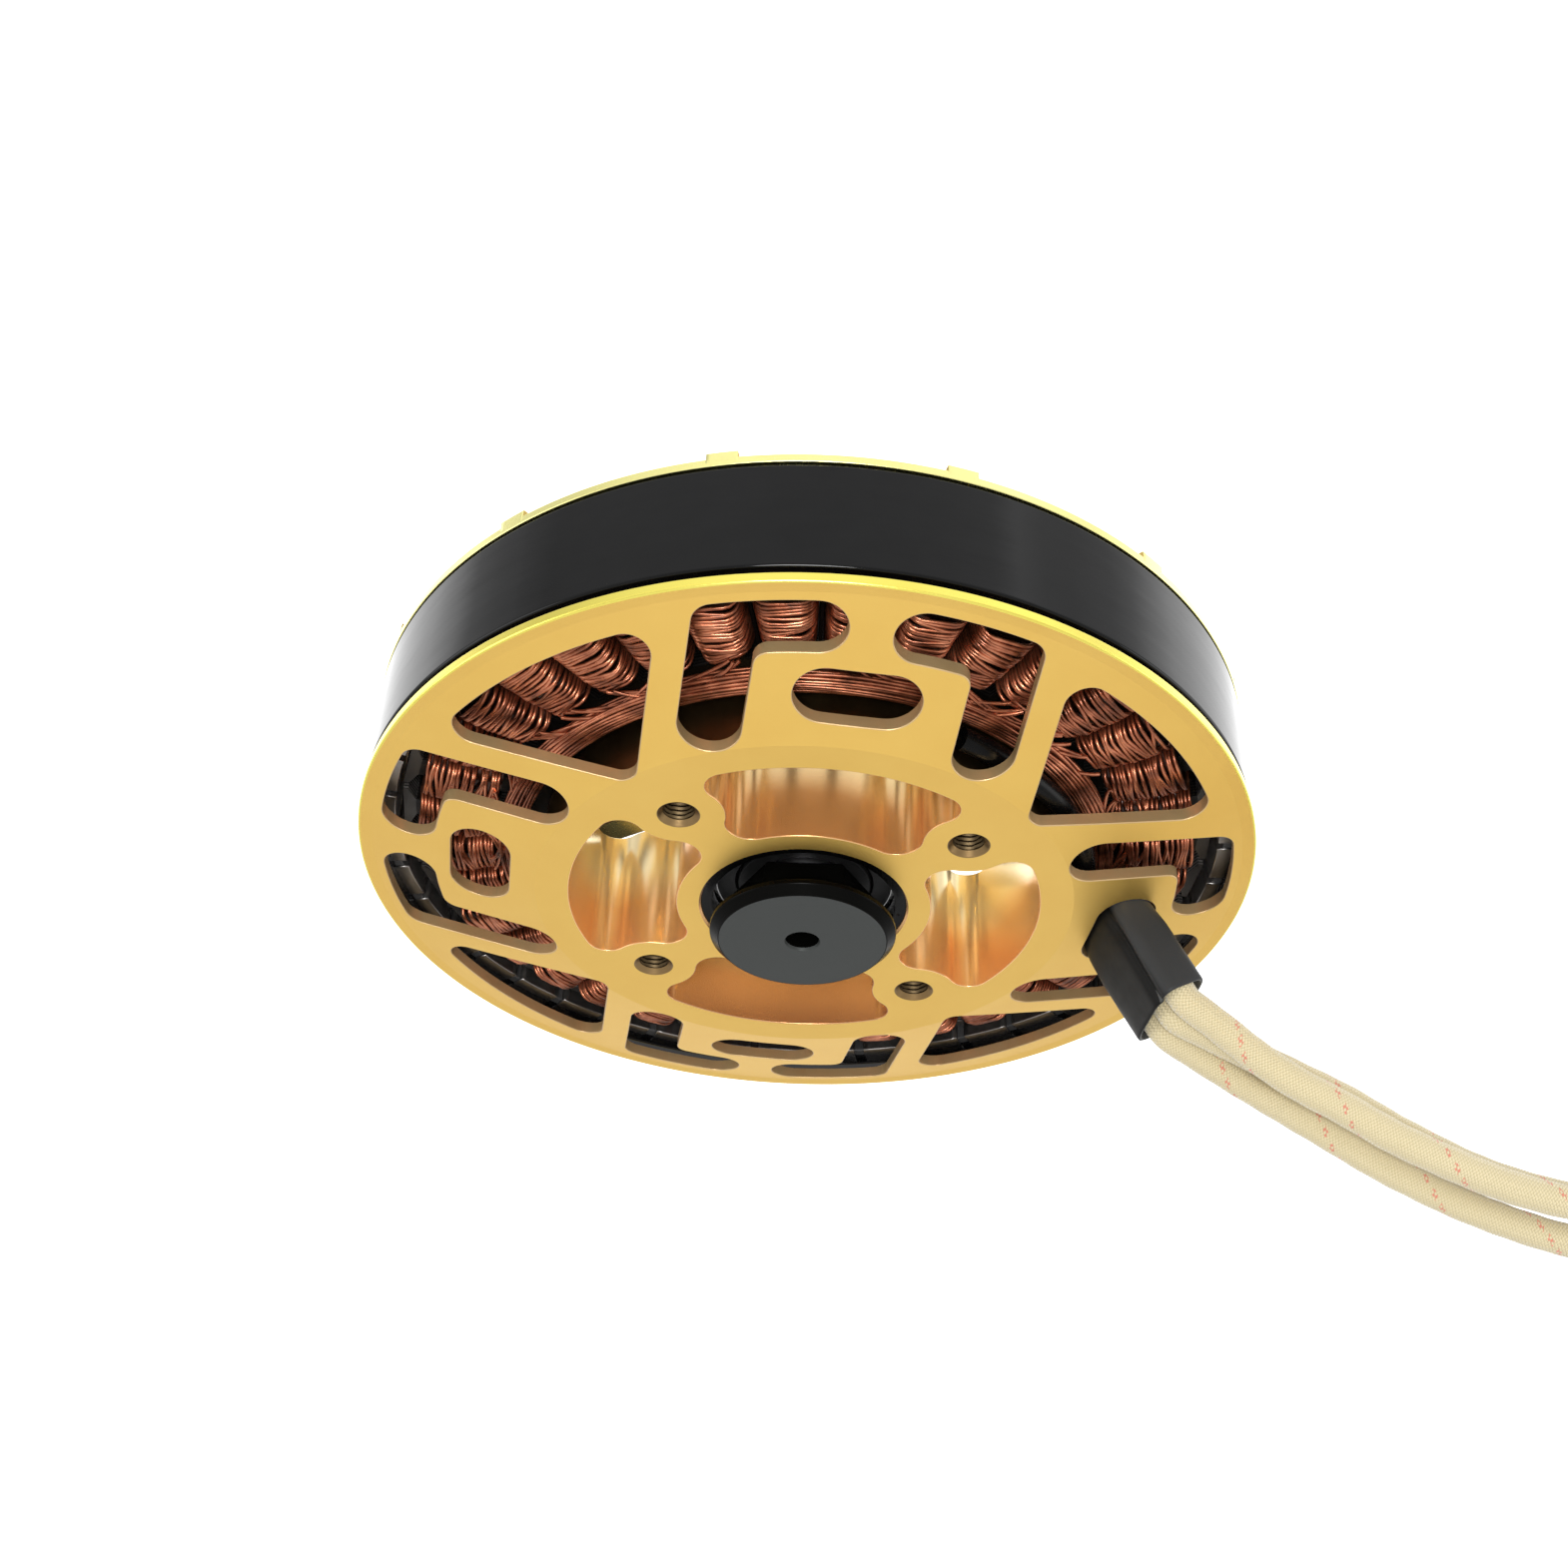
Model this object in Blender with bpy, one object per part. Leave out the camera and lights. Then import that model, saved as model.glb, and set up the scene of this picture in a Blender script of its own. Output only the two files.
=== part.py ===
"""Brushless pancake motor for a multirotor: an outrunner with a wound stator on a
slotted base plate, and a magnet ring hung from a spoked cap.

The axis of rotation is Z and the base plate's mounting face lies at z = 0. The
propeller side is up. All sizes below are millimetres; make_mesh turns them into metres.
"""
import math

import bmesh
import bpy
from mathutils import Vector

MM = 0.001

# Clearance between two pieces that seat on each other, and how far a cutter runs past a face
FIT_GAP = 0.3
CUT_OVERRUN = 1.0

# Base plate
RIM_RADIUS = 43.5
RIM_FLAT_WIDTH = 1.3
RIM_EDGE_HEIGHT = 1.0
RIM_CHAMFER = 0.25
HUB_FACE_MARGIN = 0.36
CONE_RISE = 3.5
PLATE_THICKNESS = 1.2
CARRIER_INNER_RADIUS = 22.84
CARRIER_WALL = 2.2
CORE_LEDGE_WIDTH = 0.7

# Pockets between the hub ring and the carrier wall
HUB_RING_WALL = 2.4
SCREW_CIRCLE_MARGIN = 3.75
SCREW_BOSS_MARGIN = 1.0
SCREW_HOLE_RADIUS = 1.5
SCREW_COUNTERSINK_RADIUS = 1.9
SCREW_COUNTERSINK_DEPTH = 0.4
POCKET_OUTER_FILLET = 2.0
POCKET_INNER_FILLET_SHARE = 0.36

# Slots in the plate, measured across and along the radius that runs through each group
LEG_SLOT_INNER = 9.3
LEG_SLOT_OUTER = 14.9
LEG_SLOT_START = 23.5
CROSS_SLOT_START = 1.9
CROSS_SLOT_WIDTH = 5.2
CROSS_SLOT_RIM_WIDTH = 2.2
SLOT_ELBOW_FILLET = 1.5
SLOT_CORNER_FILLET = 2.0
CABLE_SLOT_HALF_LENGTH = 5.6
CABLE_SLOT_MARGIN = 2.5
CABLE_SLOT_WIDTH = 5.8
WINDOW_START = 17.8
WINDOW_RIM_WIDTH = 3.5
WINDOW_INNER_FILLET = 1.7
WINDOW_OUTER_FILLET = 2.0

# Bearings, both alike
BEARING_RADIUS = 9.5
BEARING_BORE_RADIUS = 5.0
BEARING_WIDTH = 5.0
BEARING_SEAM_RADIUS = 6.65
BEARING_SHIELD_STEP = 0.25
BEARING_RIM = 1.0
BEARING_SPACE = 6.1
BEARING_SHOULDER = 1.2
BORE_MOUTH_DEPTH = 2.4
BORE_MOUTH_MARGIN = 0.2
BORE_MOUTH_CHAMFER = 0.4
DUST_RING_WALL = 0.8
DUST_RING_RECESS = 0.4

# Stator
TOOTH_COUNT = 36
TOOTH_PHASE_DEG = -1.0
YOKE_WIDTH = 3.7
TOOTH_WIDTH = 2.5
TOOTH_TIP_THICKNESS = 1.3
TOOTH_TIP_FLARE = 0.7
TOOTH_TIP_GAP = 1.1
COIL_YOKE_GAP = 1.46
COIL_CAP_GAP = 1.1
COIL_END_GAP = 0.4
COIL_OVERHANG = 2.3
COIL_SIDE_GAP = 0.45
COIL_CORNER = 1.0
COIL_INNER_SLOPE = 0.55
LINK_WIDTH = 2.8
LINK_HEIGHT = 2.2
LINK_CORNER = 0.7

# Rotor
AIR_GAP = 0.45
MAGNET_THICKNESS = 1.45
MAGNET_COUNT = 42
MAGNET_FILL = 0.84
MAGNET_BOTTOM_INSET = 0.9
MAGNET_LIP_GAP = 0.8
RING_SETBACK = 0.15
RING_WALL = 1.65
RING_RUNNING_GAP = 0.8
CAP_SETBACK = 0.1
CAP_DEPTH = 5.8
CAP_RIM_HEIGHT = 0.9
CAP_RIM_WIDTH = 5.0
CAP_LIP_DEPTH = 1.2
CAP_LIP_WIDTH = 1.2
SPOKE_COUNT = 13
SPOKE_PHASE_DEG = 141.0
SPOKE_WIDTH = 3.3
SPOKE_RIB_HEIGHT = 0.75
RIB_SETBACK = 0.25
SPOKE_ROOT_RISE = 2.4
CAP_WINDOW_OUTER_FILLET = 2.5
CAP_WINDOW_INNER_FILLET = 1.2
CAP_HUB_WALL = 2.6
CAP_HUB_CHAMFER = 0.8
CAP_HUB_SLOPE = 2.0
CAP_TOP_THICKNESS = 1.4
CAP_RUNNING_GAP = 0.8
PROP_HOLE_EDGE = 2.4
PROP_HOLE_RADIUS = 1.25
PROP_HOLE_DEPTH = 3.0

# Shaft, end cap and screws
SHAFT_BORE_RADIUS = 1.75
SHAFT_BOTTOM = -0.9
SHAFT_STEP_RADIUS = 6.3
SHAFT_STEP_HEIGHT = 0.6
FLANGE_MARGIN = 2.0
FLANGE_THICKNESS = 1.7
SCREW_COUNT = 4
CAP_SCREW_SHAFT_GAP = 3.3
CAP_SCREW_RADIUS = 1.05
CAP_SCREW_HEAD_RADIUS = 2.1
CAP_SCREW_HEAD_HEIGHT = 1.0
CAP_SCREW_SINK = 0.1
CAP_SCREW_LENGTH = 2.6
CAP_SCREW_SOCKET_RADIUS = 0.75
CAP_SCREW_SOCKET_DEPTH = 0.7
DISC_FACE_Z = -3.8
DISC_FACE_RADIUS = 8.15
DISC_RADIUS = 9.0
DISC_THICKNESS = 1.4
DISC_HOLE_RADIUS = 1.6
NECK_RADIUS = 5.9
NECK_HEIGHT = 0.6
HEX_ACROSS_FLATS = 12.5
HEX_HEIGHT = 3.1
HEX_CHAMFER = 0.5
HEX_TURN_DEG = -97.3

# Leads, with the sleeve that gathers them at the cable slot
LEAD_DIAMETER = 3.2
LEAD_CORE_DIAMETER = 2.2
LEAD_BARE_LENGTH = 7.0
LEAD_PITCH = 3.25
LEAD_STRAIGHT = 1.0
LEAD_POINT_SPACING = 2.2
LEAD_STEP_LENGTH = 0.05
SLEEVE_WIDTH = 10.6
SLEEVE_THICKNESS = 5.2
SLEEVE_CORNER = 1.6
SLEEVE_WALL = 0.35
SLEEVE_ROOT_TAPER = 0.6
SLEEVE_POCKET_DEPTH = 2.0
INNER_LEAD_DIAMETER = 2.2
INNER_LEAD_GAP = 0.46

# The sleeve's centre line, from inside the plate to its open end
SLEEVE_START = (30.6, 0.0, 4.7)
SLEEVE_BEND = (31.7, 0.0, 0.9)
SLEEVE_END = (36.1, 0.0, -7.3)

# Each lead's own route after the sleeve, from points chosen along its middle line
LEAD_ROUTES = {
    "lead_1": [(39.8, -3.2, -10.6), (43.3, -3.1, -13.5), (46.8, -3.0, -15.7), (50.8, -2.8, -17.6),
               (56.3, -2.6, -20.4), (62.3, -2.4, -22.7), (68.2, -2.2, -24.3), (74.5, -2.2, -25.1),
               (81.0, -2.4, -25.2), (88.0, -2.8, -24.6), (95.0, -3.4, -23.4)],
    "lead_2": [(39.9, 3.2, -10.3), (43.8, 3.0, -12.9), (47.1, 2.7, -15.0), (52.5, 2.5, -18.3),
               (58.2, 2.4, -21.5), (64.3, 2.3, -24.1), (69.9, 2.3, -25.8), (76.5, 2.5, -26.9),
               (83.5, 2.8, -27.2), (90.5, 3.4, -26.7)],
    "lead_3": [(40.1, 0.0, -9.7), (44.2, -0.1, -11.7), (48.6, 0.2, -13.4), (53.2, 0.8, -15.1),
               (58.6, 1.1, -17.9), (64.4, 1.2, -20.5), (70.2, 1.2, -22.2), (76.5, 1.2, -22.9),
               (83.0, 1.2, -22.8), (89.5, 1.4, -21.8)],
}

# How many straight pieces stand for a full circle
LARGE_CIRCLE_STEPS = 48
SMALL_CIRCLE_STEPS = 24
HOLE_CIRCLE_STEPS = 8
FILLET_STEPS = 3
CAP_FILLET_STEPS = 2
END_STEPS = 5
POCKET_STEPS = 4

# Sizes that follow from the ones above
rim_face_z = CONE_RISE
rim_edge_top = rim_face_z + RIM_EDGE_HEIGHT
rim_flat_start = RIM_RADIUS - RIM_FLAT_WIDTH
carrier_outer = CARRIER_INNER_RADIUS + CARRIER_WALL
ledge_radius = carrier_outer + CORE_LEDGE_WIDTH
hub_face_radius = ledge_radius + HUB_FACE_MARGIN
cone_slope = CONE_RISE / (rim_flat_start - hub_face_radius)
cross_slot_outer = RIM_RADIUS - CROSS_SLOT_RIM_WIDTH
cross_slot_inner = cross_slot_outer - CROSS_SLOT_WIDTH
cable_slot_start = hub_face_radius + CABLE_SLOT_MARGIN
window_outer = RIM_RADIUS - WINDOW_RIM_WIDTH
bearing_seat = BEARING_RADIUS + FIT_GAP
bore_mouth_radius = bearing_seat + BORE_MOUTH_MARGIN
hub_ring_radius = bore_mouth_radius + HUB_RING_WALL
screw_circle = CARRIER_INNER_RADIUS - SCREW_CIRCLE_MARGIN
web_length = screw_circle - hub_ring_radius
screw_boss_radius = web_length / 2 + SCREW_BOSS_MARGIN
pocket_inner_fillet = web_length * POCKET_INNER_FILLET_SHARE
bearing_shoulder_radius = bearing_seat - BEARING_SHOULDER
lower_bearing_z = BORE_MOUTH_DEPTH + BORE_MOUTH_MARGIN
lower_bearing_top = lower_bearing_z + BEARING_WIDTH
upper_bearing_z = lower_bearing_top + BEARING_SPACE
upper_bearing_top = upper_bearing_z + BEARING_WIDTH
housing_top = upper_bearing_top + FIT_GAP
flange_bottom = housing_top + SHAFT_STEP_HEIGHT
flange_top = flange_bottom + FLANGE_THICKNESS
cap_pocket_top = flange_top + FIT_GAP
prop_face_z = cap_pocket_top + CAP_TOP_THICKNESS
cap_bottom = prop_face_z - CAP_DEPTH
cap_rim_radius = RIM_RADIUS - CAP_SETBACK
cap_rim_top = cap_bottom + CAP_RIM_HEIGHT
cap_rib_top = cap_rim_top + SPOKE_RIB_HEIGHT
ring_outer = RIM_RADIUS - RING_SETBACK
ring_inner = ring_outer - RING_WALL
ring_bottom = rim_edge_top + RING_RUNNING_GAP
ring_top = cap_bottom - FIT_GAP
magnet_face = ring_inner - MAGNET_THICKNESS
magnet_bottom = ring_bottom + MAGNET_BOTTOM_INSET
magnet_top = cap_bottom - CAP_LIP_DEPTH - MAGNET_LIP_GAP
cap_lip_outer = ring_inner - FIT_GAP
stator_radius = magnet_face - AIR_GAP
coil_bottom = ring_bottom
coil_top = cap_bottom - COIL_CAP_GAP
core_bottom = coil_bottom + COIL_OVERHANG
core_top = coil_top - COIL_OVERHANG
core_inner = carrier_outer + FIT_GAP
yoke_outer = core_inner + YOKE_WIDTH
coil_start_radius = yoke_outer + COIL_YOKE_GAP
link_outer = coil_start_radius - FIT_GAP
tip_start = stator_radius - TOOTH_TIP_THICKNESS
coil_end_radius = tip_start - COIL_END_GAP
cap_hub_pocket = hub_ring_radius + CAP_RUNNING_GAP
cap_hub_radius = cap_hub_pocket + CAP_HUB_WALL
cap_window_outer = cap_rim_radius - CAP_RIM_WIDTH
cap_window_inner = cap_hub_radius + CAP_HUB_SLOPE
prop_hole_circle = cap_hub_radius - PROP_HOLE_EDGE
flange_radius = cap_hub_pocket - FLANGE_MARGIN
shaft_radius = BEARING_BORE_RADIUS - FIT_GAP
cap_screw_circle = shaft_radius + CAP_SCREW_SHAFT_GAP
head_top = prop_face_z - CAP_SCREW_SINK
head_bottom = head_top - CAP_SCREW_HEAD_HEIGHT
neck_bottom = DISC_FACE_Z + DISC_THICKNESS
hex_bottom = neck_bottom + NECK_HEIGHT
hex_top = hex_bottom + HEX_HEIGHT
inner_lead_radius = ledge_radius + INNER_LEAD_GAP + INNER_LEAD_DIAMETER / 2


def make_material(name, colour, roughness, metallic):
    """A Principled material of one colour."""
    material = bpy.data.materials.new(name)
    material.use_nodes = True
    shader = material.node_tree.nodes["Principled BSDF"]
    shader.inputs["Base Color"].default_value = (*colour, 1.0)
    shader.inputs["Roughness"].default_value = roughness
    shader.inputs["Metallic"].default_value = metallic
    material.diffuse_color = (*colour, 1.0)
    return material


def make_mesh(name, points, faces, merge=False):
    """A closed mesh with its faces turned outwards, from points in millimetres."""
    shape = bmesh.new()
    corners = [shape.verts.new(Vector(point) * MM) for point in points]
    for face in faces:
        shape.faces.new([corners[index] for index in face])
    if merge:
        bmesh.ops.remove_doubles(shape, verts=shape.verts, dist=MM * 0.001)
    bmesh.ops.recalc_face_normals(shape, faces=shape.faces)
    mesh = bpy.data.meshes.new(name)
    shape.to_mesh(mesh)
    shape.free()
    mesh.shade_smooth()
    mesh.set_sharp_from_angle(angle=math.radians(30))
    return mesh


def place(name, mesh, material, parent=None):
    """An object for a mesh, on the axis unless its parent is elsewhere."""
    piece = bpy.data.objects.new(name, mesh)
    bpy.context.collection.objects.link(piece)
    if not mesh.materials:
        mesh.materials.append(material)
    piece.parent = parent
    return piece


def arc(centre, radius, start_deg, end_deg, steps):
    """Points on an arc, both ends included."""
    points = []
    for step in range(steps + 1):
        angle = math.radians(start_deg + (end_deg - start_deg) * step / steps)
        points.append((centre[0] + radius * math.cos(angle), centre[1] + radius * math.sin(angle)))
    return points


def direction_deg(origin, target):
    return math.degrees(math.atan2(target[1] - origin[1], target[0] - origin[0]))


def turned(outline, angle_deg):
    """An outline turned about the axis."""
    cosine, sine = math.cos(math.radians(angle_deg)), math.sin(math.radians(angle_deg))
    return [(x * cosine - y * sine, x * sine + y * cosine) for x, y in outline]


def mirrored(outline):
    """An outline mirrored across the X axis, still running the same way round."""
    return [(x, -y) for x, y in reversed(outline)]


def rings_joined(sections):
    """Points and faces of a ring-shaped solid, from its closed cross-sections in order round it."""
    points, faces = [], []
    count = len(sections[0])
    for step, section in enumerate(sections):
        points += section
        here, after = step * count, (step + 1) % len(sections) * count
        for index in range(count):
            following = (index + 1) % count
            faces.append((here + index, here + following, after + following, after + index))
    return points, faces


def spun(profile, angle_deg):
    """A (radius, height) profile placed at an angle about the axis."""
    angle = math.radians(angle_deg)
    return [(radius * math.cos(angle), radius * math.sin(angle), z) for radius, z in profile]


def revolve(profile, segments):
    """Points and faces of a closed (radius, height) profile turned about the axis."""
    return rings_joined([spun(profile, 360 * step / segments) for step in range(segments)])


def loft(sections):
    """Points and faces of a solid whose ends are the first and last section."""
    points, faces = [], []
    count = len(sections[0])
    for section in sections:
        points += section
    for level in range(len(sections) - 1):
        here, after = level * count, (level + 1) * count
        for index in range(count):
            following = (index + 1) % count
            faces.append((here + index, here + following, after + following, after + index))
    faces.append(tuple(range(count)))
    faces.append(tuple(range(len(points) - count, len(points))))
    return points, faces


def lathe(profile, segments, centre=(0, 0)):
    """Points and faces of a solid turned from (radius, height) steps, closed at both ends."""
    return loft([[(x, y, z) for x, y in arc(centre, radius, 0, 360, segments)[:-1]] for radius, z in profile])


def prism(outline, bottom, top):
    """Points and faces of an outline drawn straight up."""
    return loft([[(x, y, bottom) for x, y in outline], [(x, y, top) for x, y in outline]])


def joined(shapes):
    """Several shapes' points and faces as one list of each."""
    points, faces = [], []
    for shape_points, shape_faces in shapes:
        start = len(points)
        points += shape_points
        faces += [tuple(start + index for index in face) for face in shape_faces]
    return points, faces


def cut(piece, name, shapes):
    """Cut a group of separate shapes out of a piece."""
    cutter = place(name, make_mesh(name, *joined(shapes)), cutter_material)
    cutter.hide_render = True
    cutter.display_type = "WIRE"
    modifier = piece.modifiers.new(name, "BOOLEAN")
    modifier.operation = "DIFFERENCE"
    modifier.solver = "EXACT"
    modifier.object = cutter
    return cutter


def merge_flat_faces(piece):
    """Join faces that lie in one plane, which the cuts have split."""
    modifier = piece.modifiers.new("merge_flat_faces", "DECIMATE")
    modifier.decimate_type = "DISSOLVE"
    modifier.angle_limit = math.radians(0.1)


def tangent_angle(boss_distance, centre_radius):
    """Angle between a boss and a fillet's centre, seen from the axis, by the cosine rule."""
    cosine = (centre_radius ** 2 + screw_circle ** 2 - boss_distance ** 2) / (
        2 * centre_radius * screw_circle)
    return math.degrees(math.acos(cosine))


def pocket_outline():
    """One kidney pocket on +X: arcs of the wall and the hub ring, waisted by two screw bosses."""
    boss = tuple(screw_circle * math.cos(math.radians(45)) for _ in "xy")
    outer_radius = CARRIER_INNER_RADIUS - POCKET_OUTER_FILLET
    outer_deg = 45 - tangent_angle(screw_boss_radius + POCKET_OUTER_FILLET, outer_radius)
    inner_radius = hub_ring_radius + pocket_inner_fillet
    inner_deg = 45 - tangent_angle(screw_boss_radius + pocket_inner_fillet, inner_radius)
    outer_centre = arc((0, 0), outer_radius, outer_deg, outer_deg, 1)[0]
    inner_centre = arc((0, 0), inner_radius, inner_deg, inner_deg, 1)[0]
    boss_to_outer = direction_deg(boss, outer_centre)
    boss_to_inner = direction_deg(boss, inner_centre) % 360
    half = arc((0, 0), CARRIER_INNER_RADIUS, 0, outer_deg, POCKET_STEPS)
    half += arc(outer_centre, POCKET_OUTER_FILLET, outer_deg, boss_to_outer + 180, FILLET_STEPS)[1:]
    half += arc(boss, screw_boss_radius, boss_to_outer % 360, boss_to_inner, POCKET_STEPS)[1:]
    half += arc(inner_centre, pocket_inner_fillet, boss_to_inner - 180, inner_deg + 180, POCKET_STEPS)[1:]
    half += arc((0, 0), hub_ring_radius, inner_deg, 0, POCKET_STEPS)[1:]
    return half + mirrored(half)[1:-1]


def leg_slot_outline():
    """One L slot beside +X: a leg along the radius, and a cross leg along the rim."""
    leg_middle = (LEG_SLOT_INNER + LEG_SLOT_OUTER) / 2
    leg_half = (LEG_SLOT_OUTER - LEG_SLOT_INNER) / 2
    cross_half = (cross_slot_outer - cross_slot_inner) / 2
    elbow = LEG_SLOT_INNER - SLOT_ELBOW_FILLET
    elbow_x = math.sqrt((cross_slot_inner - SLOT_ELBOW_FILLET) ** 2 - elbow ** 2)
    elbow_deg = direction_deg((0, 0), (elbow_x, elbow))
    end_y = CROSS_SLOT_START + cross_half
    end_radius = cross_slot_inner + cross_half
    end_x = math.sqrt(end_radius ** 2 - end_y ** 2)
    end_deg = direction_deg((0, 0), (end_x, end_y))
    corner_y = LEG_SLOT_OUTER - SLOT_CORNER_FILLET
    corner_x = math.sqrt((cross_slot_outer - SLOT_CORNER_FILLET) ** 2 - corner_y ** 2)
    corner_deg = direction_deg((0, 0), (corner_x, corner_y))
    outline = arc((LEG_SLOT_START + leg_half, leg_middle), leg_half, 90, 270, END_STEPS)
    outline += arc((elbow_x, elbow), SLOT_ELBOW_FILLET, 90, elbow_deg, FILLET_STEPS)
    outline += arc((0, 0), cross_slot_inner, elbow_deg, end_deg, 2)[1:]
    outline += arc((end_x, end_y), cross_half, end_deg + 180, end_deg + 360, END_STEPS)[1:]
    outline += arc((0, 0), cross_slot_outer, end_deg, corner_deg, 3)[1:]
    outline += arc((corner_x, corner_y), SLOT_CORNER_FILLET, corner_deg, 90, FILLET_STEPS)[1:]
    return outline


def cable_slot_outline():
    """The stadium slot on +X, long across the radius."""
    half = CABLE_SLOT_WIDTH / 2
    middle = cable_slot_start + half
    straight = CABLE_SLOT_HALF_LENGTH - half
    far_end = arc((middle, straight), half, 0, 180, END_STEPS)
    return far_end + arc((middle, -straight), half, 180, 360, END_STEPS)


def window_outline():
    """The window of one quadrant: two straight sides and the rim's arc, all corners round."""
    inner = WINDOW_START + WINDOW_INNER_FILLET
    side = WINDOW_START + WINDOW_OUTER_FILLET
    far = math.sqrt((window_outer - WINDOW_OUTER_FILLET) ** 2 - side ** 2)
    low_deg = direction_deg((0, 0), (far, side))
    outline = arc((inner, inner), WINDOW_INNER_FILLET, 180, 270, FILLET_STEPS)
    outline += arc((far, side), WINDOW_OUTER_FILLET, 270, 360 + low_deg, FILLET_STEPS)
    outline += arc((0, 0), window_outer, low_deg, 90 - low_deg, 6)[1:-1]
    outline += arc((side, far), WINDOW_OUTER_FILLET, 90 - low_deg, 180, FILLET_STEPS)
    return outline


def plate_back(radius):
    """Height of the plate's inner face at a radius."""
    return PLATE_THICKNESS + max(0.0, radius - hub_face_radius) * cone_slope


def base_mount(material):
    """Turned plate, carrier wall and bearing housing in one, with milled pockets and slots."""
    ledge_top = core_bottom - FIT_GAP
    shoulder_low = lower_bearing_top + FIT_GAP
    shoulder_high = upper_bearing_z - FIT_GAP
    profile = [
        (hub_face_radius, 0), (rim_flat_start, rim_face_z), (RIM_RADIUS - RIM_CHAMFER, rim_face_z),
        (RIM_RADIUS, rim_face_z + RIM_CHAMFER), (RIM_RADIUS, rim_edge_top),
        (rim_flat_start - RIM_FLAT_WIDTH, rim_edge_top), (hub_face_radius, PLATE_THICKNESS),
        (ledge_radius, PLATE_THICKNESS), (ledge_radius, ledge_top),
        (carrier_outer, ledge_top), (carrier_outer, core_top), (hub_ring_radius, core_top),
        (hub_ring_radius, housing_top),
    ]
    piece = place("base_mount", make_mesh("base_mount", *lathe(profile, LARGE_CIRCLE_STEPS)), material)
    below, above = -CUT_OVERRUN, core_top + CUT_OVERRUN
    bore = [
        (bore_mouth_radius + BORE_MOUTH_CHAMFER - below, below), (bore_mouth_radius, BORE_MOUTH_CHAMFER),
        (bore_mouth_radius, BORE_MOUTH_DEPTH), (bearing_seat, BORE_MOUTH_DEPTH), (bearing_seat, shoulder_low),
        (bearing_shoulder_radius, shoulder_low), (bearing_shoulder_radius, shoulder_high),
        (bearing_seat, shoulder_high), (bearing_seat, housing_top + CUT_OVERRUN),
    ]
    slot_top = rim_edge_top + CUT_OVERRUN
    pockets, slots, holes = [], [], []
    for quarter in range(4):
        angle = 90 * quarter
        pockets.append(prism(turned(pocket_outline(), angle), below, above))
        slots.append(prism(turned(leg_slot_outline(), angle), below, slot_top))
        slots.append(prism(turned(mirrored(leg_slot_outline()), angle), below, slot_top))
        slots.append(prism(turned(cable_slot_outline(), angle), below, slot_top))
        slots.append(prism(turned(window_outline(), angle), below, slot_top))
        centre = arc((0, 0), screw_circle, 45 + angle, 45 + angle, 1)[0]
        cone_end = 2 * SCREW_COUNTERSINK_RADIUS - SCREW_HOLE_RADIUS
        hole_levels = [(cone_end, -SCREW_COUNTERSINK_DEPTH), (SCREW_HOLE_RADIUS, SCREW_COUNTERSINK_DEPTH),
                       (SCREW_HOLE_RADIUS, above)]
        holes.append(lathe(hole_levels, HOLE_CIRCLE_STEPS, centre))
    cut(piece, "bore_cutter", [lathe(bore, SMALL_CIRCLE_STEPS)])
    cut(piece, "pocket_cutter", pockets)
    cut(piece, "slot_cutter", slots)
    cut(piece, "screw_hole_cutter", holes)
    merge_flat_faces(piece)
    return piece


def stator_core(material):
    """Laminated ring with a tipped tooth for each coil."""
    outer, inner = [], []
    pitch = 360 / TOOTH_COUNT
    half_width = TOOTH_WIDTH / 2
    tip_half = math.pi * stator_radius / TOOTH_COUNT - TOOTH_TIP_GAP / 2
    for tooth in range(TOOTH_COUNT):
        middle = TOOTH_PHASE_DEG + pitch * tooth
        root_x = math.sqrt(yoke_outer ** 2 - half_width ** 2)
        tip_x = math.sqrt(stator_radius ** 2 - tip_half ** 2)
        flare_end = tip_start + TOOTH_TIP_FLARE
        side = [(root_x, half_width), (tip_start, half_width), (flare_end, tip_half), (tip_x, tip_half)]
        outline = [(x, -y) for x, y in side] + side[::-1]
        outer += turned(outline, middle)
        inner += turned(arc((0, 0), core_inner, -pitch / 4, pitch / 4, 1), middle)
    points, faces = [], []
    tooth_points, bore_points = len(outer), len(inner)
    for z in (core_bottom, core_top):
        points += [(x, y, z) for x, y in outer] + [(x, y, z) for x, y in inner]
    level = tooth_points + bore_points
    per_tooth = tooth_points // TOOTH_COUNT
    for index in range(tooth_points):
        after = (index + 1) % tooth_points
        faces.append((index, after, level + after, level + index))
    for index in range(bore_points):
        after = (index + 1) % bore_points
        here, there = tooth_points + index, tooth_points + after
        faces.append((there, here, level + here, level + there))
    for tooth in range(TOOTH_COUNT):
        first = tooth * per_tooth
        last = first + per_tooth - 1
        onward = (last + 1) % tooth_points
        bore_a = tooth_points + 2 * tooth
        bore_b = bore_a + 1
        bore_c = tooth_points + (2 * tooth + 2) % bore_points
        for base in (0, level):
            faces.append([base + index for index in range(first, last + 1)])
            faces.append((base + first, base + last, base + bore_b, base + bore_a))
            faces.append((base + last, base + onward, base + bore_c, base + bore_b))
    return place("stator_core", make_mesh("stator_core", points, faces), material)


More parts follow.
